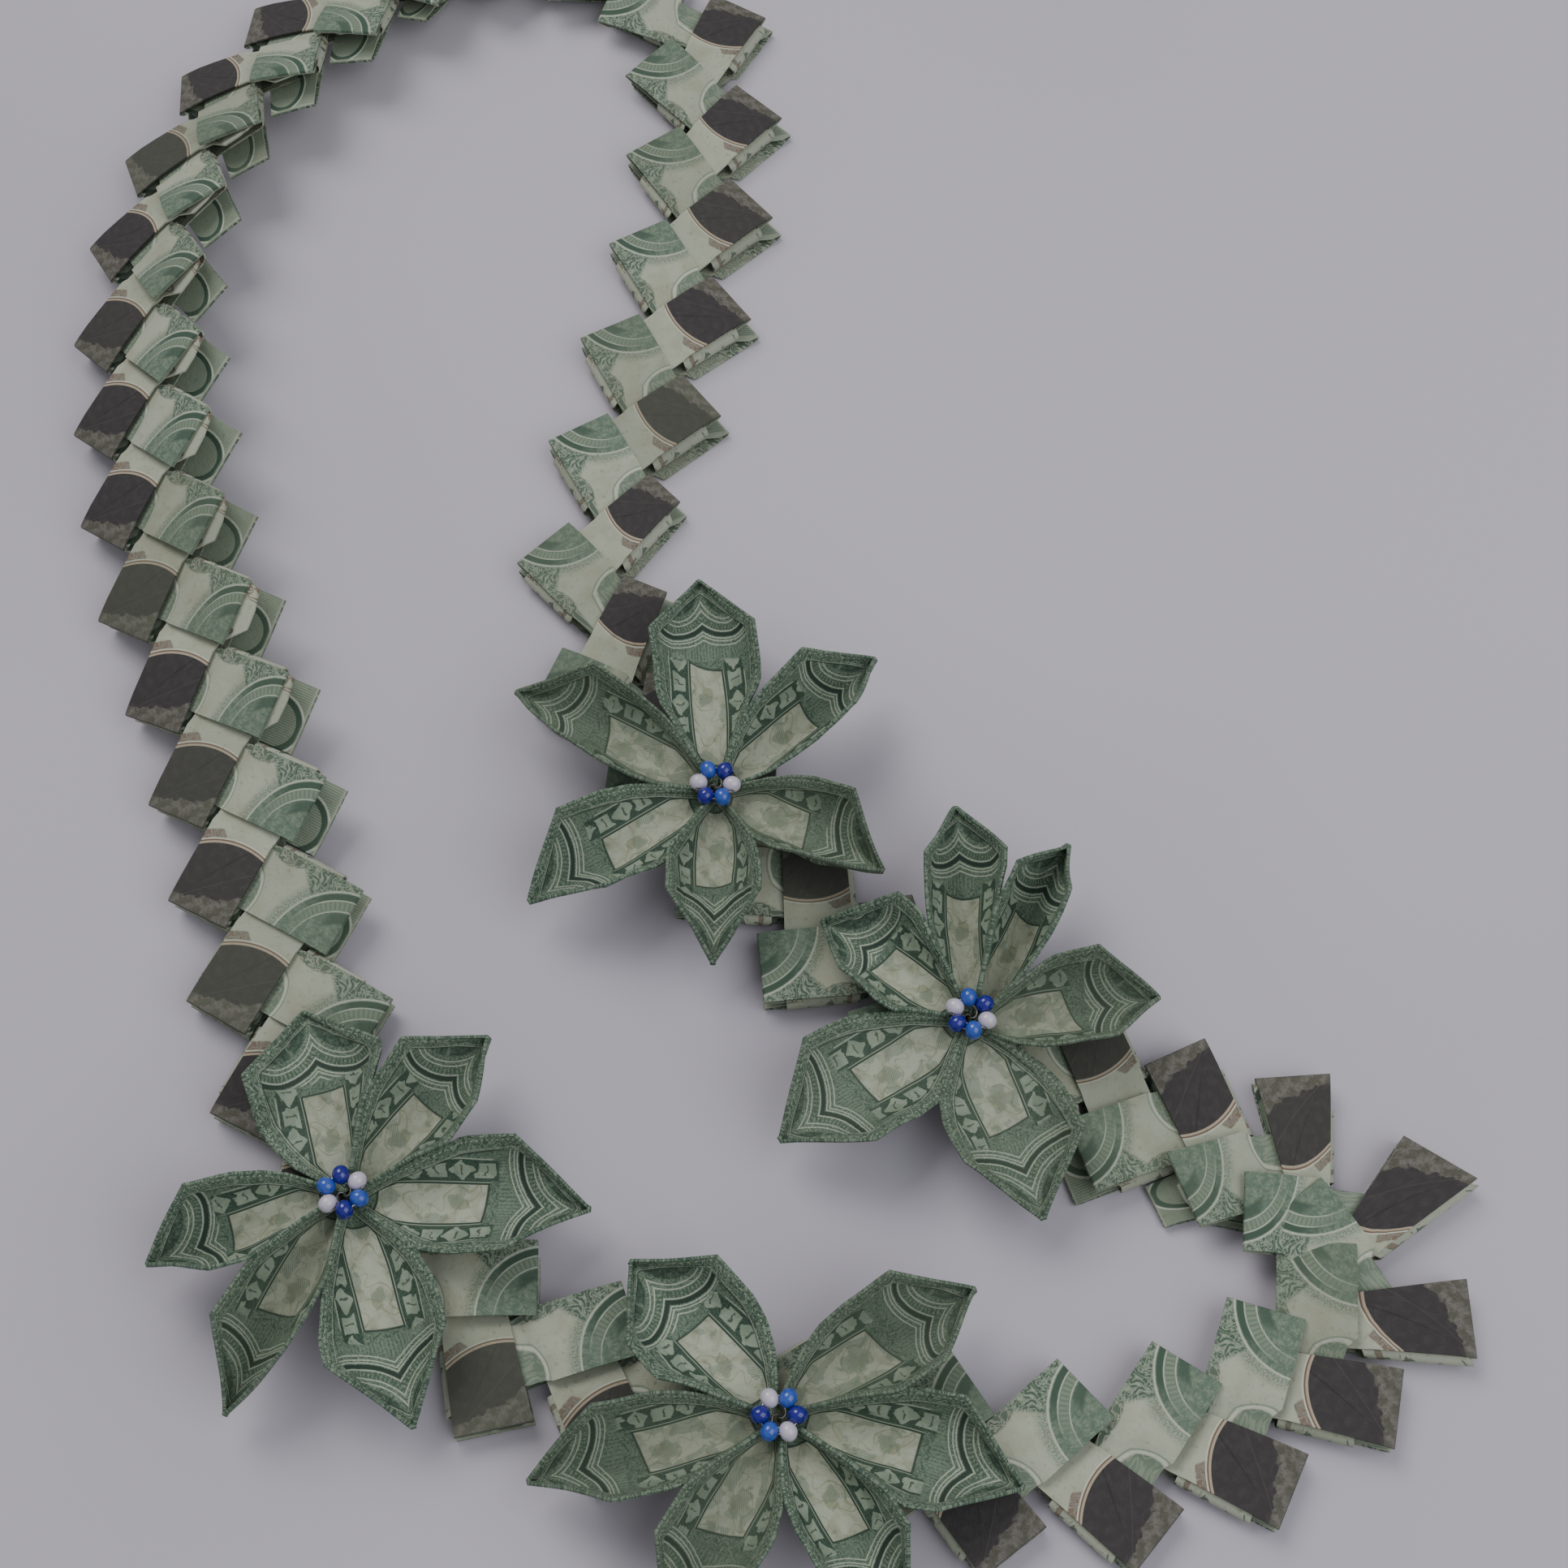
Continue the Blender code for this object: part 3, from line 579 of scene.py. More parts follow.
class Route:
    """The closed middle line of the chain, sampled from a smooth curve through its points."""

    def __init__(self, points):
        self.samples = []
        count = len(points)
        for index in range(count):
            corners = [points[(index + step) % count] for step in (-1, 0, 1, 2)]
            for part in range(SAMPLES_PER_SPAN):
                self.samples.append(self.blend(corners, part / SAMPLES_PER_SPAN))
        self.phases = [0.0]
        for index, sample in enumerate(self.samples):
            following = self.samples[(index + 1) % len(self.samples)]
            run = math.dist(sample[:2], following[:2])
            self.phases.append(self.phases[-1] + 2 * run / sample[3])
        self.link_count = 2 * round(self.phases[-1] / 2)

    @staticmethod
    def blend(corners, t):
        """Catmull-Rom blend of four neighbouring route points."""
        weights = (
            -0.5 * t + t * t - 0.5 * t ** 3,
            1 - 2.5 * t * t + 1.5 * t ** 3,
            0.5 * t + 2 * t * t - 1.5 * t ** 3,
            -0.5 * t * t + 0.5 * t ** 3,
        )
        return [sum(w * corner[axis] for w, corner in zip(weights, corners)) for axis in range(4)]

    def at(self, link_number):
        """Place, tangent, outward normal, roll and zigzag length at a place counted in links."""
        phase = (link_number % self.link_count) * self.phases[-1] / self.link_count
        index = max(bisect_left(self.phases, phase) - 1, 0)
        step = (phase - self.phases[index]) / (self.phases[index + 1] - self.phases[index])
        before, first, second, after = (
            self.samples[(index + ahead) % len(self.samples)] for ahead in (-1, 0, 1, 2))
        mixed = [a + (b - a) * step for a, b in zip(first, second)]
        tangent = Vector((after[0] - before[0], after[1] - before[1])).normalized()
        outward = Vector((tangent.y, -tangent.x))
        drawn = TURN_DRAW * turn_share(link_number, 0)
        place = Vector(mixed[:2]) - LOOP_MIDDLE - outward * drawn
        return place, tangent, outward, max(math.radians(mixed[2]), 0.0), mixed[3]

    def height_at(self, link_number):
        """Height of the middle plane that keeps the rolled and twisted band's edge on the floor."""
        lifts = []
        for step in range(-LIFT_REACH, LIFT_REACH + 1):
            before, roll, after = (self.at(link_number + step + half)[3] for half in (-0.5, 0, 0.5))
            lifts.append(HALF_BAND * (math.sin(roll) + TWIST_REACH * abs(after - before)))
        return LEAF_TOP + sum(lifts) / len(lifts)

    def climb_at(self, link_number):
        """Slope of the middle plane along the chain, no steeper than keeps a link off the floor."""
        roll, period = self.at(link_number)[3:]
        spare = self.height_at(link_number) - LEAF_TOP - HALF_BAND * math.sin(roll)
        steepest = max(spare, 0.0) / TILT_REACH
        rise = self.height_at(link_number + 1) - self.height_at(link_number - 1)
        return max(-steepest, min(steepest, rise / period))


class Band:
    """The chain as one thick ribbon that rolls and bends along the route."""

    def __init__(self, route):
        total = route.link_count * STEPS_PER_LINK
        rows = [self.section(route, number / STEPS_PER_LINK) for number in range(total)]
        self.places, self.flat, self.middles, self.axes = (np.array(part) for part in zip(*rows))

    @staticmethod
    def section(route, number):
        """Plan place, plan directions, middle point and the three axes of the band."""
        place, tangent, outward, roll, _ = route.at(number)
        along = Vector((tangent.x, tangent.y, route.climb_at(number))).normalized()
        across = Vector((outward.x, outward.y, 0.0)) * math.cos(roll)
        across -= Vector((0.0, 0.0, math.sin(roll)))
        across = (across - along * across.dot(along)).normalized()
        up = across.cross(along).normalized()
        if up.z < 0:
            up = -up
        middle = Vector((place.x, place.y, route.height_at(number)))
        return place[:], (tangent[:], outward[:]), middle[:], (along[:], across[:], up[:])

    def lay(self, plan_points, heights, link_number):
        """Points of the plan at heights above the middle plane, in space in metres."""
        centre = round((link_number - 0.5) * STEPS_PER_LINK)
        window = np.arange(centre - 5 * STEPS_PER_LINK, centre + 5 * STEPS_PER_LINK)
        window %= len(self.places)
        gaps = plan_points[:, None, :] - self.places[window][None, :, :]
        nearest = window[(gaps ** 2).sum(axis=2).argmin(axis=1)]
        offsets = plan_points - self.places[nearest]
        ahead = (offsets * self.flat[nearest, 0]).sum(axis=1)
        beside = (offsets * self.flat[nearest, 1]).sum(axis=1)
        parts = np.stack((ahead, beside, heights), axis=1)
        return (self.middles[nearest] + (parts[:, :, None] * self.axes[nearest]).sum(axis=1)) * MM


class Line:
    """A straight line in the plan view, with the side that counts as ahead."""

    def __init__(self, point, along, ahead):
        self.point = point
        self.along = along.normalized()
        normal = Vector((-self.along.y, self.along.x))
        self.normal = normal if normal.dot(ahead) > 0 else -normal

    def moved(self, distance):
        """The same line moved ahead by a distance."""
        return Line(self.point + self.normal * distance, self.along, self.normal)

    def meets(self, other):
        """The point where two lines cross."""
        travel = other.normal.dot(other.point - self.point) / other.normal.dot(self.along)
        return self.point + self.along * travel


class LinkPlan:
    """One link seen from above: its axis, its side edges and the stations along it."""

    def __init__(self, route, number):
        self.number = number
        self.start = crossing_point(route, number - 1)
        self.axis = (crossing_point(route, number) - self.start).normalized()
        tangent = route.at(number - 0.5)[1]
        side = Vector((-self.axis.y, self.axis.x))
        self.side = side if side.dot(tangent) > 0 else -side
        self.root = self.start - self.axis * (STRIP_WIDTH / 2 + FOLD_WALL)

    def edge_offset(self, neighbour, travel):
        """Half width towards a parallel neighbour that leaves the gap between the two."""
        ahead = 1.0 if neighbour.side.dot(neighbour.start - self.start) > 0 else -1.0
        mean = self.side + neighbour.side
        target = self.side.dot(self.root) + neighbour.side.dot(neighbour.root)
        target -= ahead * NEIGHBOUR_GAP / 2 * mean.length
        at_axis = self.root + self.axis * travel
        offset = ahead * (target - mean.dot(at_axis)) / mean.dot(self.side)
        return min(STRIP_WIDTH / 2, max(offset, NARROWEST_HALF))

    def set_edges(self, behind, ahead):
        """Straight side edges between the two parallel neighbours."""
        self.edges = []
        for neighbour, sign in ((behind, -1.0), (ahead, 1.0)):
            ends = []
            for travel in (0.0, LINK_LENGTH):
                reach = self.edge_offset(neighbour, travel)
                ends.append(self.root + self.axis * travel + self.side * (sign * reach))
            self.edges.append(Line(ends[0], ends[1] - ends[0], self.side))

    def set_stations(self, wrapped, held):
        """Stations at both edges, from the wrapped link and the link held at the tip."""
        rear, front = wrapped.edges
        near, far = held.edges
        lines = [rear.moved(-CLEARANCE - FOLD_WALL), rear.moved(-CLEARANCE),
                 front.moved(CLEARANCE), near.moved(-CLEARANCE)]
        limit = far.moved(CLEARANCE + TIP_WALL)
        self.stations = []
        for edge in self.edges:
            points = [edge.meets(line) for line in lines]
            travel = max(self.axis.dot(edge.meets(limit) - self.root), LINK_LENGTH)
            for distance in (travel - TIP_WALL, travel):
                spot = self.root + self.axis * distance
                points.append(edge.meets(Line(spot, self.side, self.axis)))
            self.stations.append([point[:] for point in points])

    def rear_and_span(self, travels):
        """The rear edge's plan points for travels along the link, and the way across."""
        inside = np.clip(travels, LINK_STATIONS[0], LINK_STATIONS[-1])
        beyond = (travels - inside)[:, None] * np.array(self.axis[:])
        edges = []
        for points in self.stations:
            columns = [np.interp(inside, LINK_STATIONS, column) for column in zip(*points)]
            edges.append(np.stack(columns, axis=1) + beyond)
        return edges[0], edges[1] - edges[0]


def crossing_point(route, number):
    """Where a link crosses the next one: outside the middle line for even numbers."""
    place, _, outward, _, period = route.at(number)
    sign = 1.0 if number % 2 == 0 else -1.0
    return place + outward * (sign * min(period / 4, WIDEST_CROSSING))


def segment_starts(count):
    """First link of each segment, with all links of the tight bend in one segment."""
    first, last = TIGHT_BEND
    steps = range(0, count - LINKS_PER_SEGMENT + 1, LINKS_PER_SEGMENT)
    return [number for number in steps if not first < number < last]


def make_active(item):
    """Select one object alone and work on it."""
    bpy.ops.object.select_all(action="DESELECT")
    item.select_set(True)
    bpy.context.view_layer.objects.active = item


def select_vertices(item, wanted):
    """Select vertices by their place while in edit mode."""
    bpy.ops.mesh.select_all(action="DESELECT")
    bpy.ops.object.mode_set(mode="OBJECT")
    for vertex in item.data.vertices:
        vertex.select = wanted(vertex.co)
    for edge in item.data.edges:
        edge.select = all(item.data.vertices[end].select for end in edge.vertices)
    bpy.ops.object.mode_set(mode="EDIT")
    bpy.ops.mesh.select_mode(type="EDGE")


def add_item(name, data):
    """A new object in the scene."""
    item = bpy.data.objects.new(name, data)
    bpy.context.scene.collection.objects.link(item)
    return item


def copy_of(master):
    """A copy of an object with its own mesh."""
    return add_item(master.name, master.data.copy())


def shade_smooth(item, degrees):
    """Smooth shading, with sharp edges from an angle on."""
    make_active(item)
    bpy.ops.object.shade_smooth_by_angle(angle=math.radians(degrees))


def open_primitive(name, scale):
    """Name the new primitive, apply its place and size and open it for editing."""
    item = bpy.context.object
    item.name = name
    item.scale = scale
    make_active(item)
    bpy.ops.object.transform_apply()
    bpy.ops.object.mode_set(mode="EDIT")
    return item


def close_edit():
    """Turn all faces outwards and leave edit mode."""
    bpy.ops.mesh.select_all(action="SELECT")
    bpy.ops.mesh.normals_make_consistent(inside=False)
    bpy.ops.object.mode_set(mode="OBJECT")


def extrude(move):
    """Extrude what is selected by a move."""
    bpy.ops.mesh.extrude_region_move(TRANSFORM_OT_translate={"value": move})


def apply_modifier(item, kind, **settings):
    """Add a modifier and apply it."""
    modifier = item.modifiers.new(kind.lower(), kind)
    for key, value in settings.items():
        setattr(modifier, key, value)
    make_active(item)
    bpy.ops.object.modifier_apply(modifier=modifier.name)


def get_points(data):
    """Vertex places as an array."""
    flat = np.zeros(len(data.vertices) * 3)
    data.vertices.foreach_get("co", flat)
    return flat.reshape(-1, 3)


def set_points(data, points):
    """Put the vertices at the places of an array."""
    data.vertices.foreach_set("co", points.astype(np.float32).ravel())
    data.update()


def set_uv(data, name, values):
    """Write a UV map from one pair of values for each vertex."""
    corners = np.zeros(len(data.loops), dtype=int)
    data.loops.foreach_get("vertex_index", corners)
    layer = data.uv_layers.new(name=name)
    layer.data.foreach_set("uv", values[corners].astype(np.float32).ravel())


def set_tint(data, value):
    """Store one tint on the whole mesh."""
    attribute = data.attributes.new("tint", "FLOAT", "POINT")
    attribute.data.foreach_set("value", np.full(len(data.vertices), value, np.float32))


def make_master_link():
    """Fold the strip: extrude it along its path, then give it its thickness.

    It is modelled in millimetres with the travel along X, the width along Y and height up.
    """
    lower = [(travel, -height) for travel, height in reversed(HALF_PATH[:-1])]
    path = list(HALF_PATH) + lower
    lengths = path_lengths(path)
    middle = lengths[len(HALF_PATH) - 1]
    first_step = path[1][0] - path[0][0]
    bpy.ops.mesh.primitive_plane_add(
        size=1.0, calc_uvs=False, location=((path[0][0] + path[1][0]) / 2, 0.0, path[0][1]))
    link = open_primitive("master_link", (first_step, STRIP_WIDTH, 1.0))
    select_vertices(link, lambda co: abs(co.x - path[1][0]) < 0.01)
    for before, after in zip(path[1:], path[2:]):
        extrude((after[0] - before[0], 0.0, after[1] - before[1]))
    for place in (0.0, -STRIP_WIDTH / 4, STRIP_WIDTH / 4):
        bpy.ops.mesh.select_all(action="SELECT")
        bpy.ops.mesh.bisect(plane_co=(0.0, place, 0.0), plane_no=(0.0, 1.0, 0.0))
    close_edit()
    points = get_points(link.data)
    corners = np.array(path)
    nearest = ((points[:, None, [0, 2]] - corners[None]) ** 2).sum(axis=2).argmin(axis=1)
    along = middle - np.array(lengths)[nearest]
    set_uv(link.data, "strip", np.stack((along, points[:, 1]), axis=1))
    apply_modifier(link, "SOLIDIFY", thickness=STRIP_THICKNESS, offset=0.0, use_even_offset=True)
    shade_smooth(link, LINK_EDGES)
    return link


def ease(values, start, end):
    """0 at start and 1 at end, smoothly, and even beyond them, for arrays."""
    share = np.clip((values - start) / (end - start), 0.0, 1.0)
    return share * share * (3 - 2 * share)


def turn_share(number, later):
    """How much a link takes part in the tight turn, or in what comes some links later in it."""
    first, last = TIGHT_BEND
    share = ease(number, first - 2 + later, first + 3 + later)
    return float(share * (1.0 - ease(number, last - 3, last)))


def lay_link(master, plan, band, route, material, dice):
    """A copy of the master link fitted to its place in the chain.

    The green links' tips gape, and of the dark links the front and lower edges show.
    """
    link = copy_of(master)
    travels, widths, heights = get_points(link.data).T
    shares = widths / STRIP_WIDTH + 0.5
    towards_tip = ease(travels, GAPE_FROM, LINK_LENGTH)
    upper = heights > 0
    roll, period = route.at(plan.number - 0.5)[3:]
    rolled = ease(roll, *GAPE_ROLLS)
    turned = turn_share(plan.number, 2)
    gape = max(rolled, turned)
    if plan.number % 2:
        travels = travels + np.where(upper, UPPER_TRAVEL, LOWER_TRAVEL) * gape * towards_tip
        rise = np.where(upper, UPPER_RISE * gape + turned, LOWER_RISE * rolled)
        heights = heights + rise * towards_tip
    else:
        edge = ease(shares, *FRONT_HALF) * ease(heights, *UPPER_LAYERS)
        edge *= ease(travels, *PAST_FOLD) * ease(travels, *INNER_LEAF)
        shares = shares + STRIP_SHOW / STRIP_WIDTH * gape * edge
        heights = heights + UPPER_RISE * gape * edge
        below = ease(heights, *LOWER_LAYERS) * ease(shares, *REAR_HALF)
        below *= ease(period, *WIDE_ZIGZAGS) * ease(travels, *OUTER_LEAF)
        shares = shares - LOWER_SHOW / STRIP_WIDTH * below
    lift = dice.uniform(0.0, LOOSEST_LIFT)
    lift = lift + dice.uniform(-LOOSEST_TILT, LOOSEST_TILT) * (shares - 0.5)
    heights = heights + np.where(upper, lift, 0.0) * towards_tip
    rear, span = plan.rear_and_span(travels)
    missing = np.maximum(STRIP_WIDTH / np.linalg.norm(span, axis=1), 1.0) - 1.0
    missing *= ease(heights, *TOP_LAYER) * ease(travels, *OUTER_LEAF) * (plan.number % 2)
    heights = heights + SHINGLE_RISE * np.minimum(missing * SHINGLE_SHARE, 1.0) * shares
    shares = 0.5 + (shares - 0.5) * (1.0 + missing)
    set_points(link.data, band.lay(rear + span * shares[:, None], heights, plan.number))
    set_tint(link.data, dice.random())
    link.data.materials.append(material)
    return link


def join_pieces(name, items):
    """Join objects into one piece with its place in its mesh."""
    make_active(items[0])
    for item in items:
        item.select_set(True)
    bpy.ops.object.join()
    piece = items[0]
    piece.name = name
    piece.data.name = name
    return piece


def hand_over(piece, slot, *nodes):
    """Let a finished piece stand for its CAD nodes."""
    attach(piece, BODY)
    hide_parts(*nodes)


def build_chain():
    """Lay all links along the route, joined segment by segment."""
    route = Route(LOOP_ROUTE)
    band = Band(route)
    count = route.link_count
    plans = [LinkPlan(route, number) for number in range(count)]
    for number, plan in enumerate(plans):
        plan.set_edges(plans[number - 2], plans[(number + 2) % count])
    for number, plan in enumerate(plans):
        plan.set_stations(plans[number - 1], plans[(number + 1) % count])
    master = make_master_link()
    materials = (dark_link_material(), green_link_material())
    dice = random.Random(CHAIN_SEED)
    starts = segment_starts(count)
    for index, (start, stop) in enumerate(zip(starts, starts[1:] + [count]), start=1):
        links = [lay_link(master, plans[number], band, route, materials[number % 2], dice)
                 for number in range(start, stop)]
        run = join_pieces(f"folded_links_{index:02d}", links)
        hand_over(run, "chain_paper", f"chain_segment_{index:02d}")
    bpy.data.objects.remove(master)


def make_master_petal():
    """Flat petal sheet from foot to tip along X with its two long edges hemmed upwards.

    X runs from 0 to 1, Y from -1 to 1, and Z counts millimetres above the sheet.
    """
    bpy.ops.mesh.primitive_grid_add(
        x_subdivisions=PETAL_COLUMNS, y_subdivisions=PETAL_ROWS, size=2.0, calc_uvs=False,
        location=(0.5, 0.0, 0.0))
    petal = open_primitive("master_petal", (0.5, 1.0, 1.0))
    for side in (-1, 1):
        select_vertices(petal, lambda co: abs(co.y - side) < 0.001 and co.z < 0.001)
        extrude((0.0, HEM_BULGE * side, HEM_LIFT / 2))
        extrude((0.0, -HEM_BULGE * side, HEM_LIFT / 2))
        for share in HEM_ROWS:
            extrude((0.0, -HEM_SHARE * share * side, 0.0))
    close_edit()
    if petal.data.polygons[0].normal.z < 0:
        petal.data.flip_normals()
    return petal


def petal_form(stations, shares, length, opening, lift, slopes):
    """Points of the bent sheet for stations along it and shares of its half span across it.

    It is 5 mm wide on each side when shut and 15 mm when wide open. The slopes are those of
    the lines halfway to the two neighbours, which the rims don't pass.
    """
    span = np.interp(stations, PETAL_STATIONS, PETAL_HALF_SPANS)
    widest_half = 5.0 + opening * (14.5 - 4.7 * opening)
    half = widest_half * np.interp(stations, PETAL_STATIONS, PETAL_WIDTHS)
    slope = np.where(shares > 0, slopes[0], slopes[1])
    half = np.minimum(half, (PETAL_FOOT_RADIUS + length * stations) * slope)
    lean = np.arccos(np.clip(half / (span * math.cos(WALL_STEP / 2)), 0.0, 1.0))
    lower = np.maximum(lean - WALL_STEP / 2, 0.0)
    upper = lean + WALL_STEP / 2
    reach = np.abs(shares)
    width = np.zeros_like(reach)
    rise = np.zeros_like(reach)
    for step in range(BEND_STEPS):
        part = reach * (step + 0.5) / BEND_STEPS
        wall = lower * ease(part, *LOWER_BEND)
        wall = wall + (upper - lower) * ease(part, *UPPER_BEND)
        width += np.cos(wall) * reach / BEND_STEPS
        rise += np.sin(wall) * reach / BEND_STEPS
    return np.stack((length * stations, np.sign(shares) * span * width,
                     lift * stations ** 1.5 + span * rise), axis=1)


def bend_petal(data, shape, dice):
    """Bend the flat petal sheet into its trough, in millimetres, and write its UV maps."""
    stations, shares, lifts = get_points(data).T
    step = 1e-3
    base = petal_form(stations, shares, *shape)
    ahead = petal_form(stations + step, shares, *shape) - base
    side = petal_form(stations, shares + step, *shape) - base
    normals = np.cross(ahead, side)
    normals /= np.linalg.norm(normals, axis=1)[:, None]
    phases = [dice.uniform(0.0, 2 * math.pi) for _ in range(3)]
    ripple = (np.sin(stations * 9.0 + shares * 2.0 + phases[0])
              + 0.6 * np.sin(stations * 17.0 - shares * 5.0 + phases[1])
              + 0.4 * np.sin(shares * 9.0 + stations * 5.0 + phases[2]))
    ripple *= RIPPLE * ease(stations, 0.1, 0.4)
    half = np.interp(stations, PETAL_STATIONS, PETAL_HALF_SPANS)
    set_points(data, base + normals * (lifts + ripple)[:, None])
    set_uv(data, "sheet", np.stack((shape[0] * (1 - stations), shares * half), axis=1))
    set_uv(data, "rim", np.stack((stations, (1 - np.abs(shares)) * half), axis=1))


def place_points(data, heading, foot):
    """Turn a mesh about Z, put its origin at the foot and change it to metres."""
    points = get_points(data)
    cos, sin = math.cos(heading), math.sin(heading)
    turned = np.stack((points[:, 0] * cos - points[:, 1] * sin,
                       points[:, 0] * sin + points[:, 1] * cos, points[:, 2]), axis=1)
    set_points(data, (turned + np.array(foot)) * MM)


def towards(heading):
    """Unit vector in the plan at a heading in degrees."""
    angle = math.radians(heading)
    return Vector((math.cos(angle), math.sin(angle)))


def build_flower(number, centre, first_heading, petals, master, material, dice):
    """Six petals round the middle, each from its own foot towards its own heading."""
    headings = [petal[0] for petal in petals]
    for index, (heading, length, opening, lift) in enumerate(petals):
        gaps = [headings[index - 1] - heading, heading - headings[(index + 1) % len(headings)]]
        slopes = [math.tan(math.radians(min(gap % 360, WIDEST_GAP) / 2)) for gap in gaps]
        foot = centre + towards(first_heading - SIXTH * index) * PETAL_FOOT_RADIUS
        reach = centre + towards(heading) * length - foot
        petal = copy_of(master)
        petal.name = f"folded_petal_{number}_{index + 1}"
        petal.data.name = petal.name
        bend_petal(petal.data, (reach.length, opening, lift, slopes), dice)
        apply_modifier(petal, "SOLIDIFY", thickness=PETAL_THICKNESS, offset=-1.0)
        place_points(petal.data, math.atan2(reach.y, reach.x), (foot.x, foot.y, PETAL_KEEL))
        set_tint(petal.data, dice.random())
        petal.data.materials.append(material)
        shade_smooth(petal, PETAL_EDGES)
        hand_over(petal, "petal_paper", f"flower_{number}_petal_{index + 1}")


def make_master_bead():
    """Round bead with a hole through it along Y, in millimetres."""
    radius = BEAD_DIAMETER / 2
    bpy.ops.mesh.primitive_uv_sphere_add(
        segments=24, ring_count=16, radius=radius, rotation=(math.pi / 2, 0.0, 0.0))
    bead = open_primitive("master_bead", (1.0, 1.0, 1.0))
    bpy.ops.mesh.select_mode(type="VERT")
    select_vertices(bead, lambda co: abs(co.y) > radius * 0.95)
    bpy.ops.mesh.select_mode(type="VERT")
    bpy.ops.mesh.delete(type="VERT")
    select_vertices(bead, lambda co: abs(co.y) > radius * BEAD_HOLE_SHARE)
    extrude((0.0, 0.0, 0.0))
    bpy.ops.transform.resize(value=(0.7, 0.0, 0.7))
    bpy.ops.mesh.select_all(action="SELECT")
    bpy.ops.mesh.remove_doubles(threshold=0.01)
    bpy.ops.transform.resize(value=(1.0, BEAD_LENGTH_SHARE, 1.0))
    close_edit()
    shade_smooth(bead, ROUND_EDGES)
    return bead


def make_wire(points):
    """A thin round wire along points in millimetres, as a mesh."""
    curve = bpy.data.curves.new("wire", "CURVE")
    curve.dimensions = "3D"
    curve.bevel_depth = WIRE_RADIUS
    curve.bevel_resolution = 2
    curve.use_fill_caps = True
    spline = curve.splines.new("POLY")
    spline.points.add(len(points) - 1)
    for target, point in zip(spline.points, points):
        target.co = (*point, 1.0)
    make_active(add_item("wire", curve))
    bpy.ops.object.convert(target="MESH")
    return bpy.context.object


def on_circle(radius, angle, height):
    """A point at an angle on a circle."""
    return radius * math.cos(angle), radius * math.sin(angle), height


def build_bead_ring(number, centre, turn, master, glass, metal):
    """Six beads on a wire ring with a twisted stem down to the chain."""
    parts = []
    for index in range(BEAD_COUNT):
        angle = math.radians(turn + SIXTH * index)
        bead = copy_of(master)
        spot = Vector(on_circle(BEAD_RING_RADIUS, angle, BEAD_HEIGHT))
        place_points(bead.data, angle, centre + spot)
        bead.data.materials.append(glass[index % len(glass)])
        parts.append(bead)
    angles = [math.radians(turn + SIXTH / 2 + step * RING_STEP)
              for step in range(round(360 / RING_STEP) + 1)]
    ring_points = [on_circle(BEAD_RING_RADIUS, angle, BEAD_HEIGHT) for angle in angles]
    wires = [make_wire(ring_points)]
    stem_foot = CHAIN_TOP + CLEARANCE
    for start in (0.0, math.pi):
        strand = []
        for step in range(STEM_POINTS):
            share = step / (STEM_POINTS - 1)
            angle = start + share * STEM_TWIST
            flare = max(share - STEM_SHARE, 0.0) / (1.0 - STEM_SHARE)
            radius = STRAND_RADIUS + FLARE_REACH * flare
            strand.append(on_circle(radius, angle, stem_foot + share * (BEAD_HEIGHT - stem_foot)))
        wires.append(make_wire(strand))
    for wire in wires:
        place_points(wire.data, 0.0, centre)
        wire.data.materials.append(metal)
        shade_smooth(wire, ROUND_EDGES)
    ring = join_pieces(f"seed_beads_{number}", parts + wires)
    hand_over(ring, "bead_glass", f"flower_{number}_bead_ring")


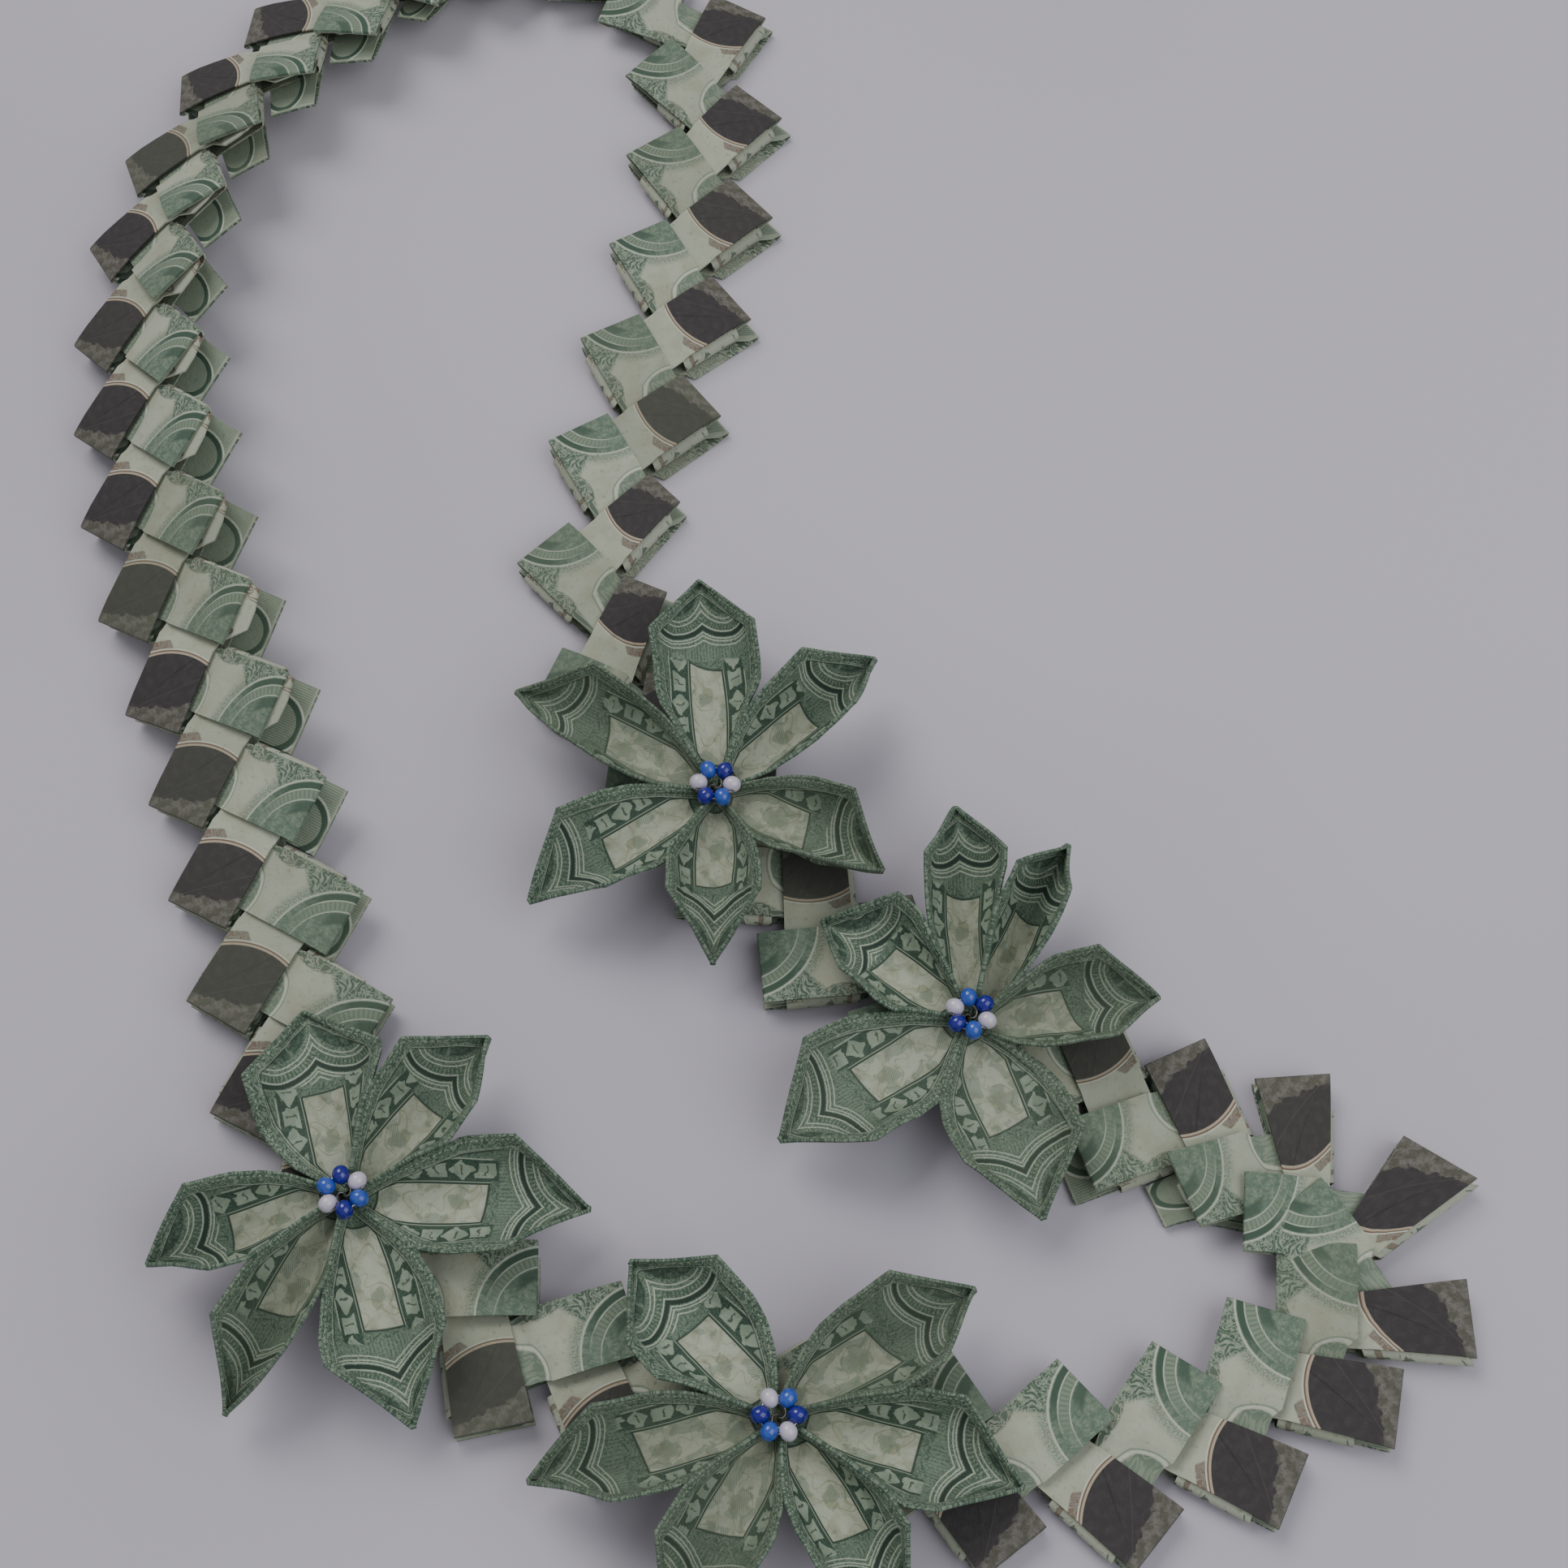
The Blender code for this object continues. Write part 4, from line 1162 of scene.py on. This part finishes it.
def build_flowers():
    """All four flowers with their bead rings."""
    petal = make_master_petal()
    bead = make_master_bead()
    paper = petal_material()
    glass = [clouded_material(name, colour, cloud, 500.0, 0.35, roughness, 0.05, GLASS_SHINE)
             for name, (colour, cloud, roughness) in BEAD_GLASS.items()]
    metal = clouded_material(
        "wire_metal", WIRE_BRIGHT, WIRE_DULL, 2200.0, 0.5, 0.32, 0.1, {"Metallic": 1.0})
    dice = random.Random(FLOWER_SEED)
    for number, (middle, first_heading, petals) in enumerate(FLOWERS, start=1):
        centre = Vector(middle) - LOOP_MIDDLE
        build_flower(number, centre, first_heading, petals, petal, paper, dice)
        build_bead_ring(number, centre.to_3d(), BEAD_TURNS[number - 1], bead, glass, metal)
    bpy.data.objects.remove(petal)
    bpy.data.objects.remove(bead)


def build_floor():
    """Plain pale floor."""
    bpy.ops.mesh.primitive_plane_add(size=FLOOR_SIZE, location=(0.0, 0.0, -FLOOR_DEPTH))
    floor = bpy.context.object
    floor.name = "floor"
    sheet = Sheet("floor_paint", FLOOR_PALE)
    cloud = sheet.noise(sheet.place, 3.0)
    sheet.paint(FLOOR_CLOUD, sheet.step(cloud, 0.4, 0.7))
    floor.data.materials.append(sheet.finish(0.85, 0.02, cloud))


def add_area_light(name, location, size, power, colour):
    """A square soft light that points at the lei."""
    light = bpy.data.lights.new(name, "AREA")
    light.shape = "SQUARE"
    light.size = size
    light.energy = power
    light.color = colour
    item = add_item(name, light)
    item.location = location
    item.rotation_euler = (-Vector(location)).to_track_quat("-Z", "Y").to_euler()


def build_light():
    """Large soft lights and an even surrounding glow."""
    for light in LIGHTS:
        add_area_light(*light)
    world = bpy.data.worlds.new("glow")
    world.use_nodes = True
    background = world.node_tree.nodes["Background"]
    background.inputs["Color"].default_value = GLOW_COLOUR
    background.inputs["Strength"].default_value = GLOW_STRENGTH
    bpy.context.scene.world = world


def build_camera():
    """Camera at the height and angle of the picture."""
    data = bpy.data.cameras.new("camera")
    data.sensor_width = SENSOR_WIDTH
    data.lens = SENSOR_WIDTH * FOCAL_PIXELS / FRAME_PIXELS
    data.clip_start = 0.01
    camera = add_item("camera", data)
    forward = Vector((0.0, math.cos(CAMERA_ANGLE), -math.sin(CAMERA_ANGLE)))
    camera.location = AIM - forward * CAMERA_DISTANCE
    camera.rotation_euler = forward.to_track_quat("-Z", "Y").to_euler()
    bpy.context.scene.camera = camera


build_camera()
build_floor()
build_light()
build_chain()
build_flowers()
